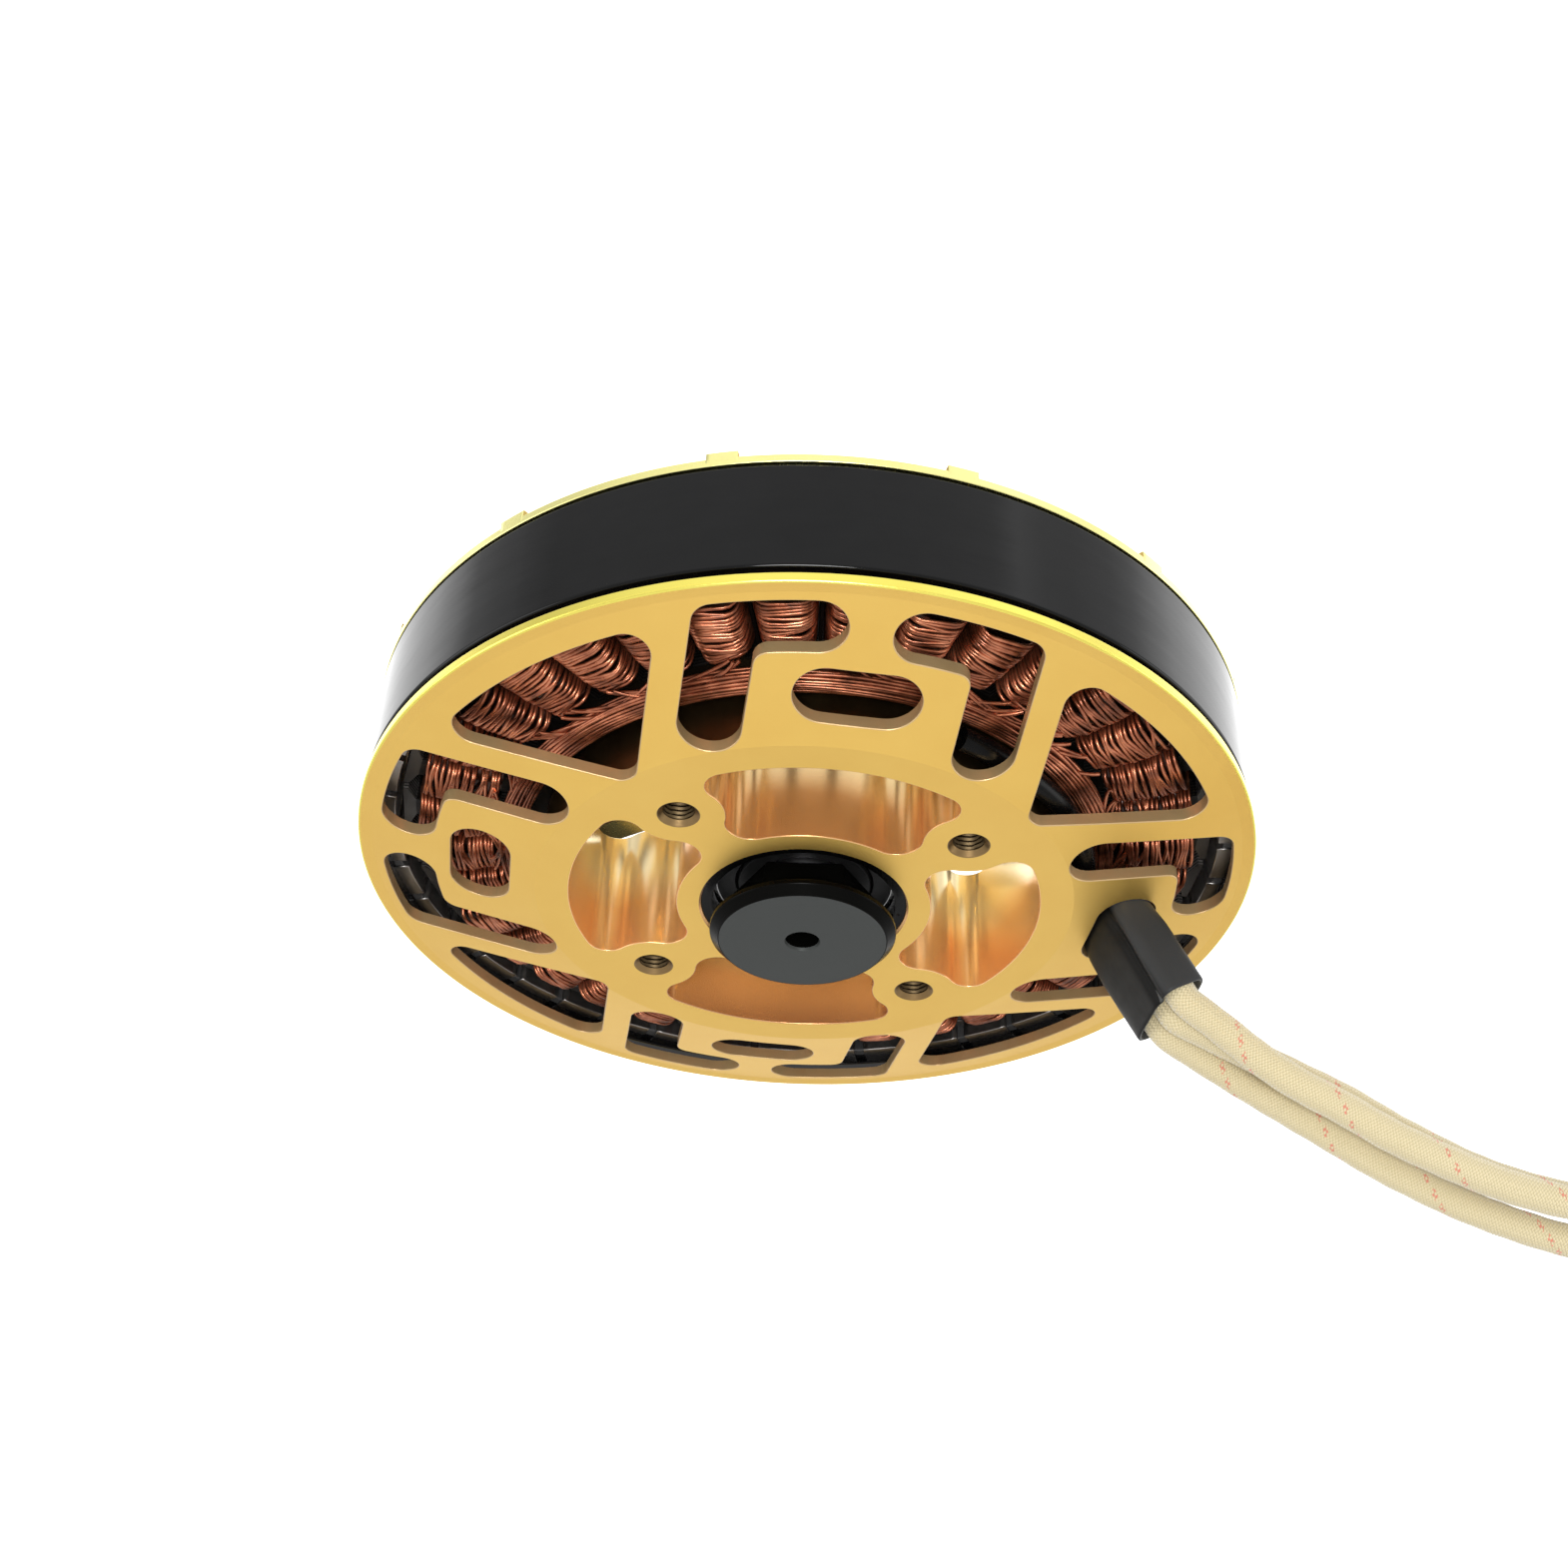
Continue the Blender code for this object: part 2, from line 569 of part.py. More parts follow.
def coil_mesh():
    """One winding around the tooth on +X, as a sleeve with cut corners, wider towards the rim."""
    inner_half = TOOTH_WIDTH / 2 + FIT_GAP
    inner_low, inner_high = core_bottom - FIT_GAP, core_top + FIT_GAP
    outer, inner = [], []
    for radius, crown in ((coil_start_radius, COIL_INNER_SLOPE), (coil_end_radius, 0.0)):
        half = math.tan(math.pi / TOOTH_COUNT) * radius - COIL_SIDE_GAP / 2
        low, high = coil_bottom + crown, coil_top - crown
        corner = min(COIL_CORNER, half / 2)
        outer += [(radius, y, z) for y, z in (
            (half, low + corner), (half, high - corner), (half - corner, high), (corner - half, high),
            (-half, high - corner), (-half, low + corner), (corner - half, low), (half - corner, low))]
        inner += [(radius, y, z) for y, z in (
            (inner_half, inner_low), (inner_half, inner_high),
            (-inner_half, inner_high), (-inner_half, inner_low))]
    points = outer + inner
    faces = []
    for count, first in ((8, 0), (4, 16)):
        for index in range(count):
            here, following = first + index, first + (index + 1) % count
            faces.append((here, following, following + count, here + count))
    for ring, bore in ((0, 16), (8, 20)):
        for side in range(4):
            start, end = ring + 2 * side, ring + (2 * side + 1) % 8
            corner, onward = bore + side, bore + (side + 1) % 4
            faces.append((start, end, onward, corner))
            faces.append((end, ring + (2 * side + 2) % 8, onward))
    return make_mesh("coil", points, faces)


def coils(material):
    """One winding on each tooth."""
    mesh = coil_mesh()
    for tooth in range(TOOTH_COUNT):
        coil = place(f"coil_{tooth + 1:02d}", mesh, material)
        coil.rotation_euler.z = math.radians(TOOTH_PHASE_DEG + 360 / TOOTH_COUNT * tooth)


def phase_links(material):
    """The wires that run from coil to coil, laced into one ring under the yoke."""
    inside = link_outer - LINK_WIDTH
    top = core_bottom - FIT_GAP
    bottom = top - LINK_HEIGHT
    profile = [(inside + LINK_CORNER, bottom), (link_outer - LINK_CORNER, bottom),
               (link_outer, bottom + LINK_CORNER), (link_outer, top), (inside, top),
               (inside, bottom + LINK_CORNER)]
    mesh = make_mesh("phase_links", *revolve(profile, LARGE_CIRCLE_STEPS // 2))
    return place("phase_links", mesh, material)


def bearing(name, bottom, steel, rotor):
    """Outer ring with its shields, and the inner ring that turns in it."""
    top = bottom + BEARING_WIDTH
    step = BEARING_SHIELD_STEP
    rim = BEARING_RADIUS - BEARING_RIM
    seam = BEARING_SEAM_RADIUS + FIT_GAP / 2
    outer = [(BEARING_RADIUS, bottom), (BEARING_RADIUS, top), (rim, top), (rim, top - step),
             (seam, top - step), (seam, bottom + step), (rim, bottom + step), (rim, bottom)]
    race = BEARING_SEAM_RADIUS - FIT_GAP / 2
    inner = [(BEARING_BORE_RADIUS, bottom), (race, bottom), (race, top), (BEARING_BORE_RADIUS, top)]
    place(name + "_outer", make_mesh(name + "_outer", *revolve(outer, SMALL_CIRCLE_STEPS)), steel)
    place(name + "_inner", make_mesh(name + "_inner", *revolve(inner, SMALL_CIRCLE_STEPS)), steel, rotor)


def dust_ring(material):
    """Black ring that keeps the lower bearing in its bore."""
    outside = bore_mouth_radius - FIT_GAP
    inside = outside - DUST_RING_WALL
    top = lower_bearing_z - FIT_GAP
    shelf = BORE_MOUTH_DEPTH - FIT_GAP
    profile = [(inside, DUST_RING_RECESS), (outside, DUST_RING_RECESS), (outside, shelf),
               (bearing_seat - FIT_GAP, shelf), (bearing_seat - FIT_GAP, top), (inside, top)]
    return place("dust_ring", make_mesh("dust_ring", *revolve(profile, SMALL_CIRCLE_STEPS)), material)


def flux_ring(material, rotor):
    """Steel ring with the magnets bonded inside it, as one lathe profile that steps in at each magnet."""
    pitch = 360 / MAGNET_COUNT
    half = pitch * MAGNET_FILL / 2

    def section(angle_deg, inner_radius):
        profile = [
            (ring_outer, ring_bottom), (ring_outer, ring_top), (ring_inner, ring_top),
            (ring_inner, magnet_top), (inner_radius, magnet_top), (inner_radius, magnet_bottom),
            (ring_inner, magnet_bottom), (ring_inner, ring_bottom),
        ]
        return spun(profile, angle_deg)

    sections = []
    for magnet in range(MAGNET_COUNT):
        middle = pitch * magnet
        sections.append(section(middle - half, ring_inner))
        sections.append(section(middle - half, magnet_face))
        sections.append(section(middle + half, magnet_face))
        sections.append(section(middle + half, ring_inner))
    points, faces = rings_joined(sections)
    return place("flux_ring", make_mesh("flux_ring", points, faces, merge=True), material, rotor)


def cap_window_outline(inner_radius, outer_radius, inner_fillet, outer_fillet, bar_width):
    """The opening between two bars, with its middle on +X and its sides along the bars."""
    half_deg = 180 / SPOKE_COUNT
    tilt = math.radians(half_deg)

    def corner(radius, fillet):
        """Fillet centre at a radius, touching the side of the bar on the left."""
        offset = bar_width / 2 + fillet
        along = math.sqrt(radius ** 2 - offset ** 2)
        return (along * math.cos(tilt) + offset * math.sin(tilt),
                along * math.sin(tilt) - offset * math.cos(tilt))

    outer = corner(outer_radius - outer_fillet, outer_fillet)
    inner = corner(inner_radius + inner_fillet, inner_fillet)
    outer_deg = direction_deg((0, 0), outer)
    inner_deg = direction_deg((0, 0), inner)
    half = arc((0, 0), outer_radius, 0, outer_deg, 2)
    half += arc(outer, outer_fillet, outer_deg, 90 + half_deg, CAP_FILLET_STEPS)[1:]
    half += arc(inner, inner_fillet, 90 + half_deg, 180 + inner_deg, CAP_FILLET_STEPS)
    half += arc((0, 0), inner_radius, inner_deg, 0, 1)[1:]
    return half + mirrored(half)[1:-1]


def top_cap(material, rotor):
    """Turned cap with a raised hub, cut into spokes whose ribs run out over the rim."""
    lip_inner = cap_lip_outer - CAP_LIP_WIDTH
    rib_root = cap_rib_top + SPOKE_ROOT_RISE
    profile = [
        (lip_inner, cap_bottom), (lip_inner, cap_bottom - CAP_LIP_DEPTH),
        (cap_lip_outer, cap_bottom - CAP_LIP_DEPTH), (cap_lip_outer, cap_bottom),
        (cap_rim_radius, cap_bottom), (cap_rim_radius, cap_rib_top - RIM_CHAMFER),
        (cap_rim_radius - RIM_CHAMFER, cap_rib_top), (cap_window_inner, rib_root),
        (cap_hub_radius, prop_face_z - CAP_HUB_CHAMFER),
        (cap_hub_radius - CAP_HUB_CHAMFER, prop_face_z),
    ]
    piece = place("top_cap", make_mesh("top_cap", *lathe(profile, LARGE_CIRCLE_STEPS)), material, rotor)
    seat = [
        (cap_hub_pocket, cap_bottom - CUT_OVERRUN), (cap_hub_pocket, flange_bottom - FIT_GAP),
        (flange_radius + FIT_GAP, flange_bottom - FIT_GAP), (flange_radius + FIT_GAP, cap_pocket_top),
        (shaft_radius + FIT_GAP, cap_pocket_top), (shaft_radius + FIT_GAP, prop_face_z + CUT_OVERRUN),
    ]
    cut(piece, "hub_pocket_cutter", [lathe(seat, SMALL_CIRCLE_STEPS)]).parent = rotor
    windows, recesses = [], []
    for spoke in range(SPOKE_COUNT):
        angle = SPOKE_PHASE_DEG + 360 / SPOKE_COUNT * (spoke + 0.5)
        window = cap_window_outline(cap_window_inner, cap_window_outer, CAP_WINDOW_INNER_FILLET,
                                    CAP_WINDOW_OUTER_FILLET, SPOKE_WIDTH)
        windows.append(prism(turned(window, angle), cap_bottom - CUT_OVERRUN / 2,
                             prop_face_z + CUT_OVERRUN))
        recess = cap_window_outline(cap_window_inner + 2 * CAP_WINDOW_INNER_FILLET,
                                    cap_rim_radius + 3 * CUT_OVERRUN, CAP_WINDOW_INNER_FILLET,
                                    RIB_SETBACK, SPOKE_WIDTH - 2 * RIB_SETBACK)
        recesses.append(prism(turned(recess, angle), cap_rim_top, prop_face_z + 2 * CUT_OVERRUN))
    cut(piece, "cap_window_cutter", windows).parent = rotor
    cut(piece, "rib_recess_cutter", recesses).parent = rotor
    holes = []
    for quarter in range(4):
        centre = arc((0, 0), prop_hole_circle, 90 * quarter, 90 * quarter, 1)[0]
        outline = arc(centre, PROP_HOLE_RADIUS, 0, 360, HOLE_CIRCLE_STEPS)[:-1]
        holes.append(prism(outline, prop_face_z - PROP_HOLE_DEPTH, prop_face_z + CUT_OVERRUN))
    for centre in cap_screw_centres():
        grown = [(CAP_SCREW_RADIUS + FIT_GAP, cap_pocket_top - CUT_OVERRUN),
                 (CAP_SCREW_RADIUS + FIT_GAP, head_bottom - FIT_GAP),
                 (CAP_SCREW_HEAD_RADIUS + FIT_GAP, head_top - FIT_GAP),
                 (CAP_SCREW_HEAD_RADIUS + FIT_GAP, prop_face_z + CUT_OVERRUN)]
        holes.append(lathe(grown, HOLE_CIRCLE_STEPS, centre))
    cut(piece, "cap_hole_cutter", holes).parent = rotor
    merge_flat_faces(piece)
    return piece


def cap_screw_centres():
    return [arc((0, 0), cap_screw_circle, angle, angle, 1)[0]
            for angle in (45 + 360 / SCREW_COUNT * index for index in range(SCREW_COUNT))]


def cap_screws(material, rotor):
    """Countersunk screws with a hexagon socket, each on its own centre."""
    profile = [(CAP_SCREW_SOCKET_RADIUS, head_top - CAP_SCREW_SOCKET_DEPTH),
               (CAP_SCREW_SOCKET_RADIUS, head_top), (CAP_SCREW_HEAD_RADIUS, head_top),
               (CAP_SCREW_RADIUS, head_bottom),
               (CAP_SCREW_RADIUS, head_top - CAP_SCREW_LENGTH)]
    mesh = make_mesh("cap_screw", *lathe(profile, HOLE_CIRCLE_STEPS))
    for index, centre in enumerate(cap_screw_centres()):
        screw = place(f"cap_screw_{index + 1}", mesh, material, rotor)
        screw.location = Vector((*centre, 0)) * MM


def shaft(material, rotor):
    """Hollow shaft with the flange that carries the cap."""
    top = prop_face_z - FIT_GAP
    profile = [(SHAFT_BORE_RADIUS, SHAFT_BOTTOM), (shaft_radius, SHAFT_BOTTOM), (shaft_radius, housing_top),
               (SHAFT_STEP_RADIUS, housing_top), (SHAFT_STEP_RADIUS, flange_bottom),
               (flange_radius, flange_bottom), (flange_radius, flange_top), (shaft_radius, flange_top),
               (shaft_radius, top), (SHAFT_BORE_RADIUS, top)]
    piece = place("shaft", make_mesh("shaft", *revolve(profile, SMALL_CIRCLE_STEPS)), material, rotor)
    holes = []
    for centre in cap_screw_centres():
        outline = arc(centre, CAP_SCREW_RADIUS + FIT_GAP, 0, 360, HOLE_CIRCLE_STEPS)[:-1]
        holes.append(prism(outline, flange_bottom - CUT_OVERRUN, flange_top + CUT_OVERRUN))
    cut(piece, "flange_hole_cutter", holes).parent = rotor
    merge_flat_faces(piece)
    return piece


def end_cap(material, rotor):
    """Black cap on the shaft's lower end: a drilled disc, a neck and a chamfered hexagon."""
    socket_floor = SHAFT_BOTTOM - FIT_GAP
    hex_corner = HEX_ACROSS_FLATS / 2 / math.cos(math.radians(30))
    hex_side = hex_corner - HEX_CHAMFER
    edge = DISC_RADIUS - DISC_FACE_RADIUS
    profile = [(DISC_HOLE_RADIUS, DISC_FACE_Z), (DISC_FACE_RADIUS, DISC_FACE_Z),
               (DISC_RADIUS, DISC_FACE_Z + edge), (DISC_RADIUS, neck_bottom), (NECK_RADIUS, neck_bottom),
               (NECK_RADIUS, hex_bottom), (hex_side, hex_bottom), (hex_corner, hex_bottom + HEX_CHAMFER),
               (hex_corner, hex_top - HEX_CHAMFER),
               (hex_side, hex_top), (BEARING_BORE_RADIUS, hex_top), (BEARING_BORE_RADIUS, socket_floor),
               (DISC_HOLE_RADIUS, socket_floor)]
    piece = place("end_cap", make_mesh("end_cap", *revolve(profile, SMALL_CIRCLE_STEPS)), material, rotor)
    flats = []
    reach = hex_corner + 2 * CUT_OVERRUN
    for side in range(6):
        flat_line = HEX_ACROSS_FLATS / 2
        block = [(flat_line, -reach), (reach, -reach), (reach, reach), (flat_line, reach)]
        outline = turned(block, HEX_TURN_DEG + 60 * side)
        flats.append(prism(outline, neck_bottom + NECK_HEIGHT / 2, hex_top + CUT_OVERRUN))
    for side, flat in enumerate(flats):
        cut(piece, f"hex_flat_cutter_{side + 1}", [flat]).parent = rotor
    merge_flat_faces(piece)
    return piece


def smooth_route(controls, spacing):
    """Evenly spaced points on a Catmull-Rom curve through the control points."""
    padded = [2 * Vector(controls[0]) - Vector(controls[1])] + [Vector(point) for point in controls]
    padded.append(2 * padded[-1] - padded[-2])
    fine = []
    for index in range(1, len(padded) - 2):
        before, start, end, after = padded[index - 1:index + 3]
        for step in range(20):
            t = step / 20
            fine.append(0.5 * (2 * start + (end - before) * t
                               + (2 * before - 5 * start + 4 * end - after) * t ** 2
                               + (3 * start - before - 3 * end + after) * t ** 3))
    fine.append(padded[-2])
    lengths = [0.0]
    for first, second in zip(fine, fine[1:]):
        lengths.append(lengths[-1] + (second - first).length)
    count = max(2, round(lengths[-1] / spacing))
    route, index = [], 0
    for step in range(count + 1):
        target = lengths[-1] * step / count
        while index < len(fine) - 2 and lengths[index + 1] < target:
            index += 1
        share = (target - lengths[index]) / (lengths[index + 1] - lengths[index])
        route.append(fine[index].lerp(fine[index + 1], share))
    return route


def tube(name, route, radii, material, resolution=2):
    """A round tube along a route, as a curve with filled ends."""
    curve = bpy.data.curves.new(name, "CURVE")
    curve.dimensions = "3D"
    curve.bevel_depth = MM
    curve.bevel_resolution = resolution
    curve.use_fill_caps = True
    spline = curve.splines.new("POLY")
    spline.points.add(len(route) - 1)
    for point, place_mm, radius in zip(spline.points, route, radii):
        point.co = (*(Vector(place_mm) * MM), 1.0)
        point.radius = radius
    curve.materials.append(material)
    piece = bpy.data.objects.new(name, curve)
    bpy.context.collection.objects.link(piece)
    return piece


def sleeve_direction():
    return (Vector(SLEEVE_END) - Vector(SLEEVE_BEND)).normalized()


def lead_sleeve(material):
    """Flat sleeve around the three leads, oval in the slot and boxy at its open outer end."""
    start, bend, end = Vector(SLEEVE_START), Vector(SLEEVE_BEND), Vector(SLEEVE_END)
    across = Vector((0, 1, 0))
    outward = sleeve_direction().cross(across)
    flat = Vector((1, 0, 0))

    def section(centre, thick_way, width, thickness, corner, shift=0.0):
        """A box outline around a point of the centre line, with its corners rounded."""
        half, reach = thickness / 2, width / 2
        bevel = corner * (1 - math.cos(math.radians(45)))
        end = [(reach - corner, -half), (reach - bevel, bevel - half), (reach, 0),
               (reach - bevel, half - bevel), (reach - corner, half)]
        middle = centre + sleeve_direction() * shift
        return [tuple(middle + across * y + thick_way * x) for y, x in end + [(-y, -x) for y, x in end]]

    slot_width = 2 * (CABLE_SLOT_HALF_LENGTH - FIT_GAP)
    middle_way = (flat + outward).normalized()
    root_thickness = SLEEVE_THICKNESS - SLEEVE_ROOT_TAPER
    pocket = SLEEVE_WIDTH - 2 * SLEEVE_WALL, SLEEVE_THICKNESS - 2 * SLEEVE_WALL, SLEEVE_CORNER - SLEEVE_WALL
    sections = [
        section(start, flat, slot_width - SLEEVE_ROOT_TAPER, root_thickness, root_thickness / 2),
        section(bend, middle_way, slot_width, SLEEVE_THICKNESS, SLEEVE_THICKNESS / 2),
        section(end, outward, SLEEVE_WIDTH, SLEEVE_THICKNESS, SLEEVE_CORNER),
        section(end, outward, *pocket),
        section(end, outward, *pocket, -SLEEVE_POCKET_DEPTH),
    ]
    return place("lead_sleeve", make_mesh("lead_sleeve", *loft(sections)), material)


def leads(material):
    """Three woven-sleeved leads that leave the sleeve side by side and end bare."""
    spread = {"lead_1": -LEAD_PITCH, "lead_2": LEAD_PITCH, "lead_3": 0.0}
    direction = sleeve_direction()
    for name, controls in LEAD_ROUTES.items():
        side = Vector((0, spread[name], 0))
        root = Vector(SLEEVE_END) + side - direction * (SLEEVE_POCKET_DEPTH - FIT_GAP)
        exit_point = Vector(SLEEVE_END) + side + direction * LEAD_STRAIGHT
        route = [root] + smooth_route([exit_point] + controls, LEAD_DIAMETER * LEAD_POINT_SPACING)
        tail = (route[-1] - route[-2]).normalized()
        cover, core = LEAD_DIAMETER / 2, LEAD_CORE_DIAMETER / 2
        radii = [cover] * len(route) + [core, core]
        end = route[-1]
        route += [end + tail * LEAD_STEP_LENGTH, end + tail * LEAD_BARE_LENGTH]
        tube(name, route, radii, material)


def inner_leads(material):
    """Insulated tails of the winding, laid on the plate beside the carrier up to the sleeve."""
    height = plate_back(inner_lead_radius + INNER_LEAD_DIAMETER / 2) + INNER_LEAD_DIAMETER / 2 + FIT_GAP
    spans = {"inner_lead_1": (-68, -16), "inner_lead_2": (19, 46)}
    for name, (start_deg, end_deg) in spans.items():
        length = math.radians(end_deg - start_deg) * inner_lead_radius
        steps = max(4, round(length / (LEAD_POINT_SPACING * INNER_LEAD_DIAMETER)))
        route = [(x, y, height) for x, y in arc((0, 0), inner_lead_radius, start_deg, end_deg, steps)]
        tube(name, route, [INNER_LEAD_DIAMETER / 2] * len(route), material, resolution=1)


for old in list(bpy.data.objects):
    bpy.data.objects.remove(old)

gold = make_material("gold_anodised", (0.86, 0.55, 0.13), 0.32, 1.0)
cap_gold = make_material("gold_anodised_cap", (0.90, 0.66, 0.20), 0.25, 1.0)
steel_laminate = make_material("core_laminate", (0.16, 0.15, 0.15), 0.5, 0.8)
copper = make_material("enamelled_copper", (0.42, 0.17, 0.09), 0.35, 0.9)
ring_black = make_material("black_gloss_ring", (0.02, 0.02, 0.022), 0.15, 0.4)
bearing_steel = make_material("bearing_steel", (0.6, 0.6, 0.6), 0.25, 1.0)
shaft_steel = make_material("shaft_steel", (0.55, 0.55, 0.57), 0.3, 1.0)
black_anodised = make_material("black_anodised", (0.03, 0.03, 0.03), 0.35, 0.6)
black_shrink = make_material("black_heat_shrink", (0.02, 0.02, 0.02), 0.6, 0.0)
woven_cream = make_material("woven_cream_sleeving", (0.80, 0.70, 0.46), 0.7, 0.0)
screw_black = make_material("screw_black", (0.05, 0.05, 0.05), 0.4, 0.9)
cutter_material = make_material("cutter", (0.8, 0.1, 0.1), 0.5, 0.0)

rotor_axis = bpy.data.objects.new("rotor_axis", None)
bpy.context.collection.objects.link(rotor_axis)

base_mount(gold)
dust_ring(black_anodised)
stator_core(steel_laminate)
coils(copper)
phase_links(copper)
bearing("bearing_lower", lower_bearing_z, bearing_steel, rotor_axis)
bearing("bearing_upper", upper_bearing_z, bearing_steel, rotor_axis)
inner_leads(black_shrink)
lead_sleeve(black_shrink)
leads(woven_cream)
shaft(shaft_steel, rotor_axis)
end_cap(black_anodised, rotor_axis)
flux_ring(ring_black, rotor_axis)
top_cap(cap_gold, rotor_axis)
cap_screws(screw_black, rotor_axis)
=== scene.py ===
from math import acos, asin, atan2, ceil, copysign, cos, degrees, pi, radians, sin, sqrt, tan, tau

import bpy
import numpy as np
from mathutils import Matrix, Vector
from mathutils.geometry import delaunay_2d_cdt


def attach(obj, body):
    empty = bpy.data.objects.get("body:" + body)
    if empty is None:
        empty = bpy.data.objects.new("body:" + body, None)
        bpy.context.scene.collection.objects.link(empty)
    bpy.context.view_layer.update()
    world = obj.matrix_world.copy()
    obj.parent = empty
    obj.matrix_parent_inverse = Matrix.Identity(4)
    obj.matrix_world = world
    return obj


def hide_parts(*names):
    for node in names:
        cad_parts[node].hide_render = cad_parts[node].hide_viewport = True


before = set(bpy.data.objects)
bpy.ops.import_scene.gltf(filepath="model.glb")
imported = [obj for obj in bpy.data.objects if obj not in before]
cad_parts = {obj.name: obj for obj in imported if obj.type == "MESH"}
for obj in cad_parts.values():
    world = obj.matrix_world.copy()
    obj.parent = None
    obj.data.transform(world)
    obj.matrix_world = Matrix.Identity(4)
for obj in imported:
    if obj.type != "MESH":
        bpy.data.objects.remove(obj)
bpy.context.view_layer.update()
array, join, norm, stack = np.array, np.concatenate, np.linalg.norm, np.stack

# Every size below is in millimetres, and is turned into metres where a mesh is made. R is a radius
MM = 0.001
AXIS, UP, DOWN = (0, 0), array((0.0, 0.0, 1.0)), array((0.0, 0.0, -1.0))
QUARTERS = (0, 90, 180, 270)

# Base plate with its carrier wall and its bearing housing
RIM_R = 43.5
RIM_FLAT_START = 42.2
HUB_FACE_R = 26.1
RIM_FACE_Z = 3.5
RIM_EDGE_TOP = 4.5
PLATE_THICKNESS = 1.2
PLATE_INNER_EDGE = 40.9
WALL_INNER_R = 22.84
WALL_OUTER_R = 25.04
WALL_TOP = 13.8
LEDGE_R = 25.74
LEDGE_TOP = 7.3
HUB_R = 12.4
HOUSING_TOP = 19.0
BORE_R = 10.0
SEAT_R = 9.8
SHOULDER_R = 8.6
SHOULDER_BOTTOM = 7.9
SHOULDER_TOP = 13.4
MOUTH_DEPTH = 2.4
EDGE_ROUND = 0.1

# Pockets, slots, windows and screw holes of the plate
SCREW_CIRCLE_R = 19.09
SCREW_BOSS_R = 4.35
SCREW_HOLE_R = 1.5
SCREW_CONE_DEPTH = 0.4
SCREW_MOUTH_R = SCREW_HOLE_R + SCREW_CONE_DEPTH
THREAD_PITCH = 0.5
THREAD_DEPTH = 0.2
POCKET_OUTER_FILLET = 2.0
POCKET_INNER_FILLET = 2.41
LEG_INNER = 9.3
LEG_OUTER = 14.9
LEG_START = 23.5
CROSS_START = 1.9
CROSS_INNER_R = 36.1
CROSS_OUTER_R = 41.3
ELBOW_FILLET = 1.5
CORNER_FILLET = 2.0
CABLE_SLOT_HALF_LENGTH = 5.6
CABLE_SLOT_START = 28.6
CABLE_SLOT_WIDTH = 5.8
WINDOW_START = 17.8
WINDOW_OUTER_R = 40.0
WINDOW_INNER_FILLET = 1.7
WINDOW_OUTER_FILLET = 2.0
FRONT = ((0, HUB_FACE_R, RIM_FLAT_START, RIM_R + 1), (0, 0, RIM_FACE_Z, RIM_FACE_Z))
BACK = ((0, HUB_FACE_R, PLATE_INNER_EDGE, RIM_R + 1), (PLATE_THICKNESS, PLATE_THICKNESS, RIM_EDGE_TOP, RIM_EDGE_TOP))

# Stator
TOOTH_COUNT = 36
TOOTH_PHASE_DEG = -1.0
TIP_START = 38.5
COIL_START_R = 30.5
COIL_END_R = 38.1
COIL_BOTTOM = 5.3
COIL_TOP = 16.1
COIL_SIDE_GAP = 0.45
COIL_POWER = 4.0
WIRE_R = 0.2
TURNS = 19
LINK_INNER_R = 27.4
LINK_OUTER_R = 30.2
LINK_BOTTOM = 4.4
LINK_TOP = 6.9
LINK_WIRE_R = 0.19
TAIL_START_R = 31.3
TAIL_END_R = 28.6

# Rotor
RING_INNER_R = 41.7
RING_OUTER_R = 43.35
RING_BOTTOM = 5.3
RING_TOP = 16.9
MAGNET_COUNT = 42
MAGNET_FACE_R = 40.25
MAGNET_FILL = 0.84
MAGNET_BOTTOM = 6.2
MAGNET_TOP = 15.2
CAP_BOTTOM = 17.2
CAP_RIM_R = 43.4
CAP_RIM_TOP = 18.1
RIB_END_Z = 18.85
RIB_ROOT_Z = 21.25
LIP_INNER = 40.2
LIP_OUTER = 41.4
LIP_BOTTOM = 16.0
CAP_WINDOW_INNER = 17.8
CAP_WINDOW_OUTER = 38.4
CAP_HUB_R = 15.8
CAP_HUB_CHAMFER = 0.8
HUB_POCKET_R = 13.2
FLANGE_POCKET_R = 11.5
POCKET_STEP_Z = 19.3
POCKET_TOP = 21.6
PROP_FACE_Z = 23.0
SPOKE_COUNT = 13
SPOKE_PHASE_DEG = 141.0
SPOKE_WIDTH = 3.3
RIB_WIDTH = 2.8
RIB_FILLET = 1.2
PROP_HOLE_CIRCLE = 13.4
PROP_HOLE_R = 1.25
PROP_HOLE_DEPTH = 3.0
CAP_SCREW_CIRCLE = 8.0
SHAFT_R = 4.7
EYE_R = SHAFT_R + 0.25
HALF_SPOKE_DEG = 180 / SPOKE_COUNT
SPOKE_GAPS = [SPOKE_PHASE_DEG + 360 / SPOKE_COUNT * (number + 0.5) for number in range(SPOKE_COUNT)]

# End cap under the shaft
DISC_FACE_Z = -3.8
DISC_FACE_R = 8.15
DISC_R = 9.0
DISC_TOP_Z = -2.4
DISC_HOLE_R = 1.6
NECK_R = 5.9
HEX_BOTTOM = -1.8
HEX_TOP = 1.3
HEX_ACROSS_FLATS = 12.5
HEX_ROUND = 0.45
HEX_TURN_DEG = -97.3

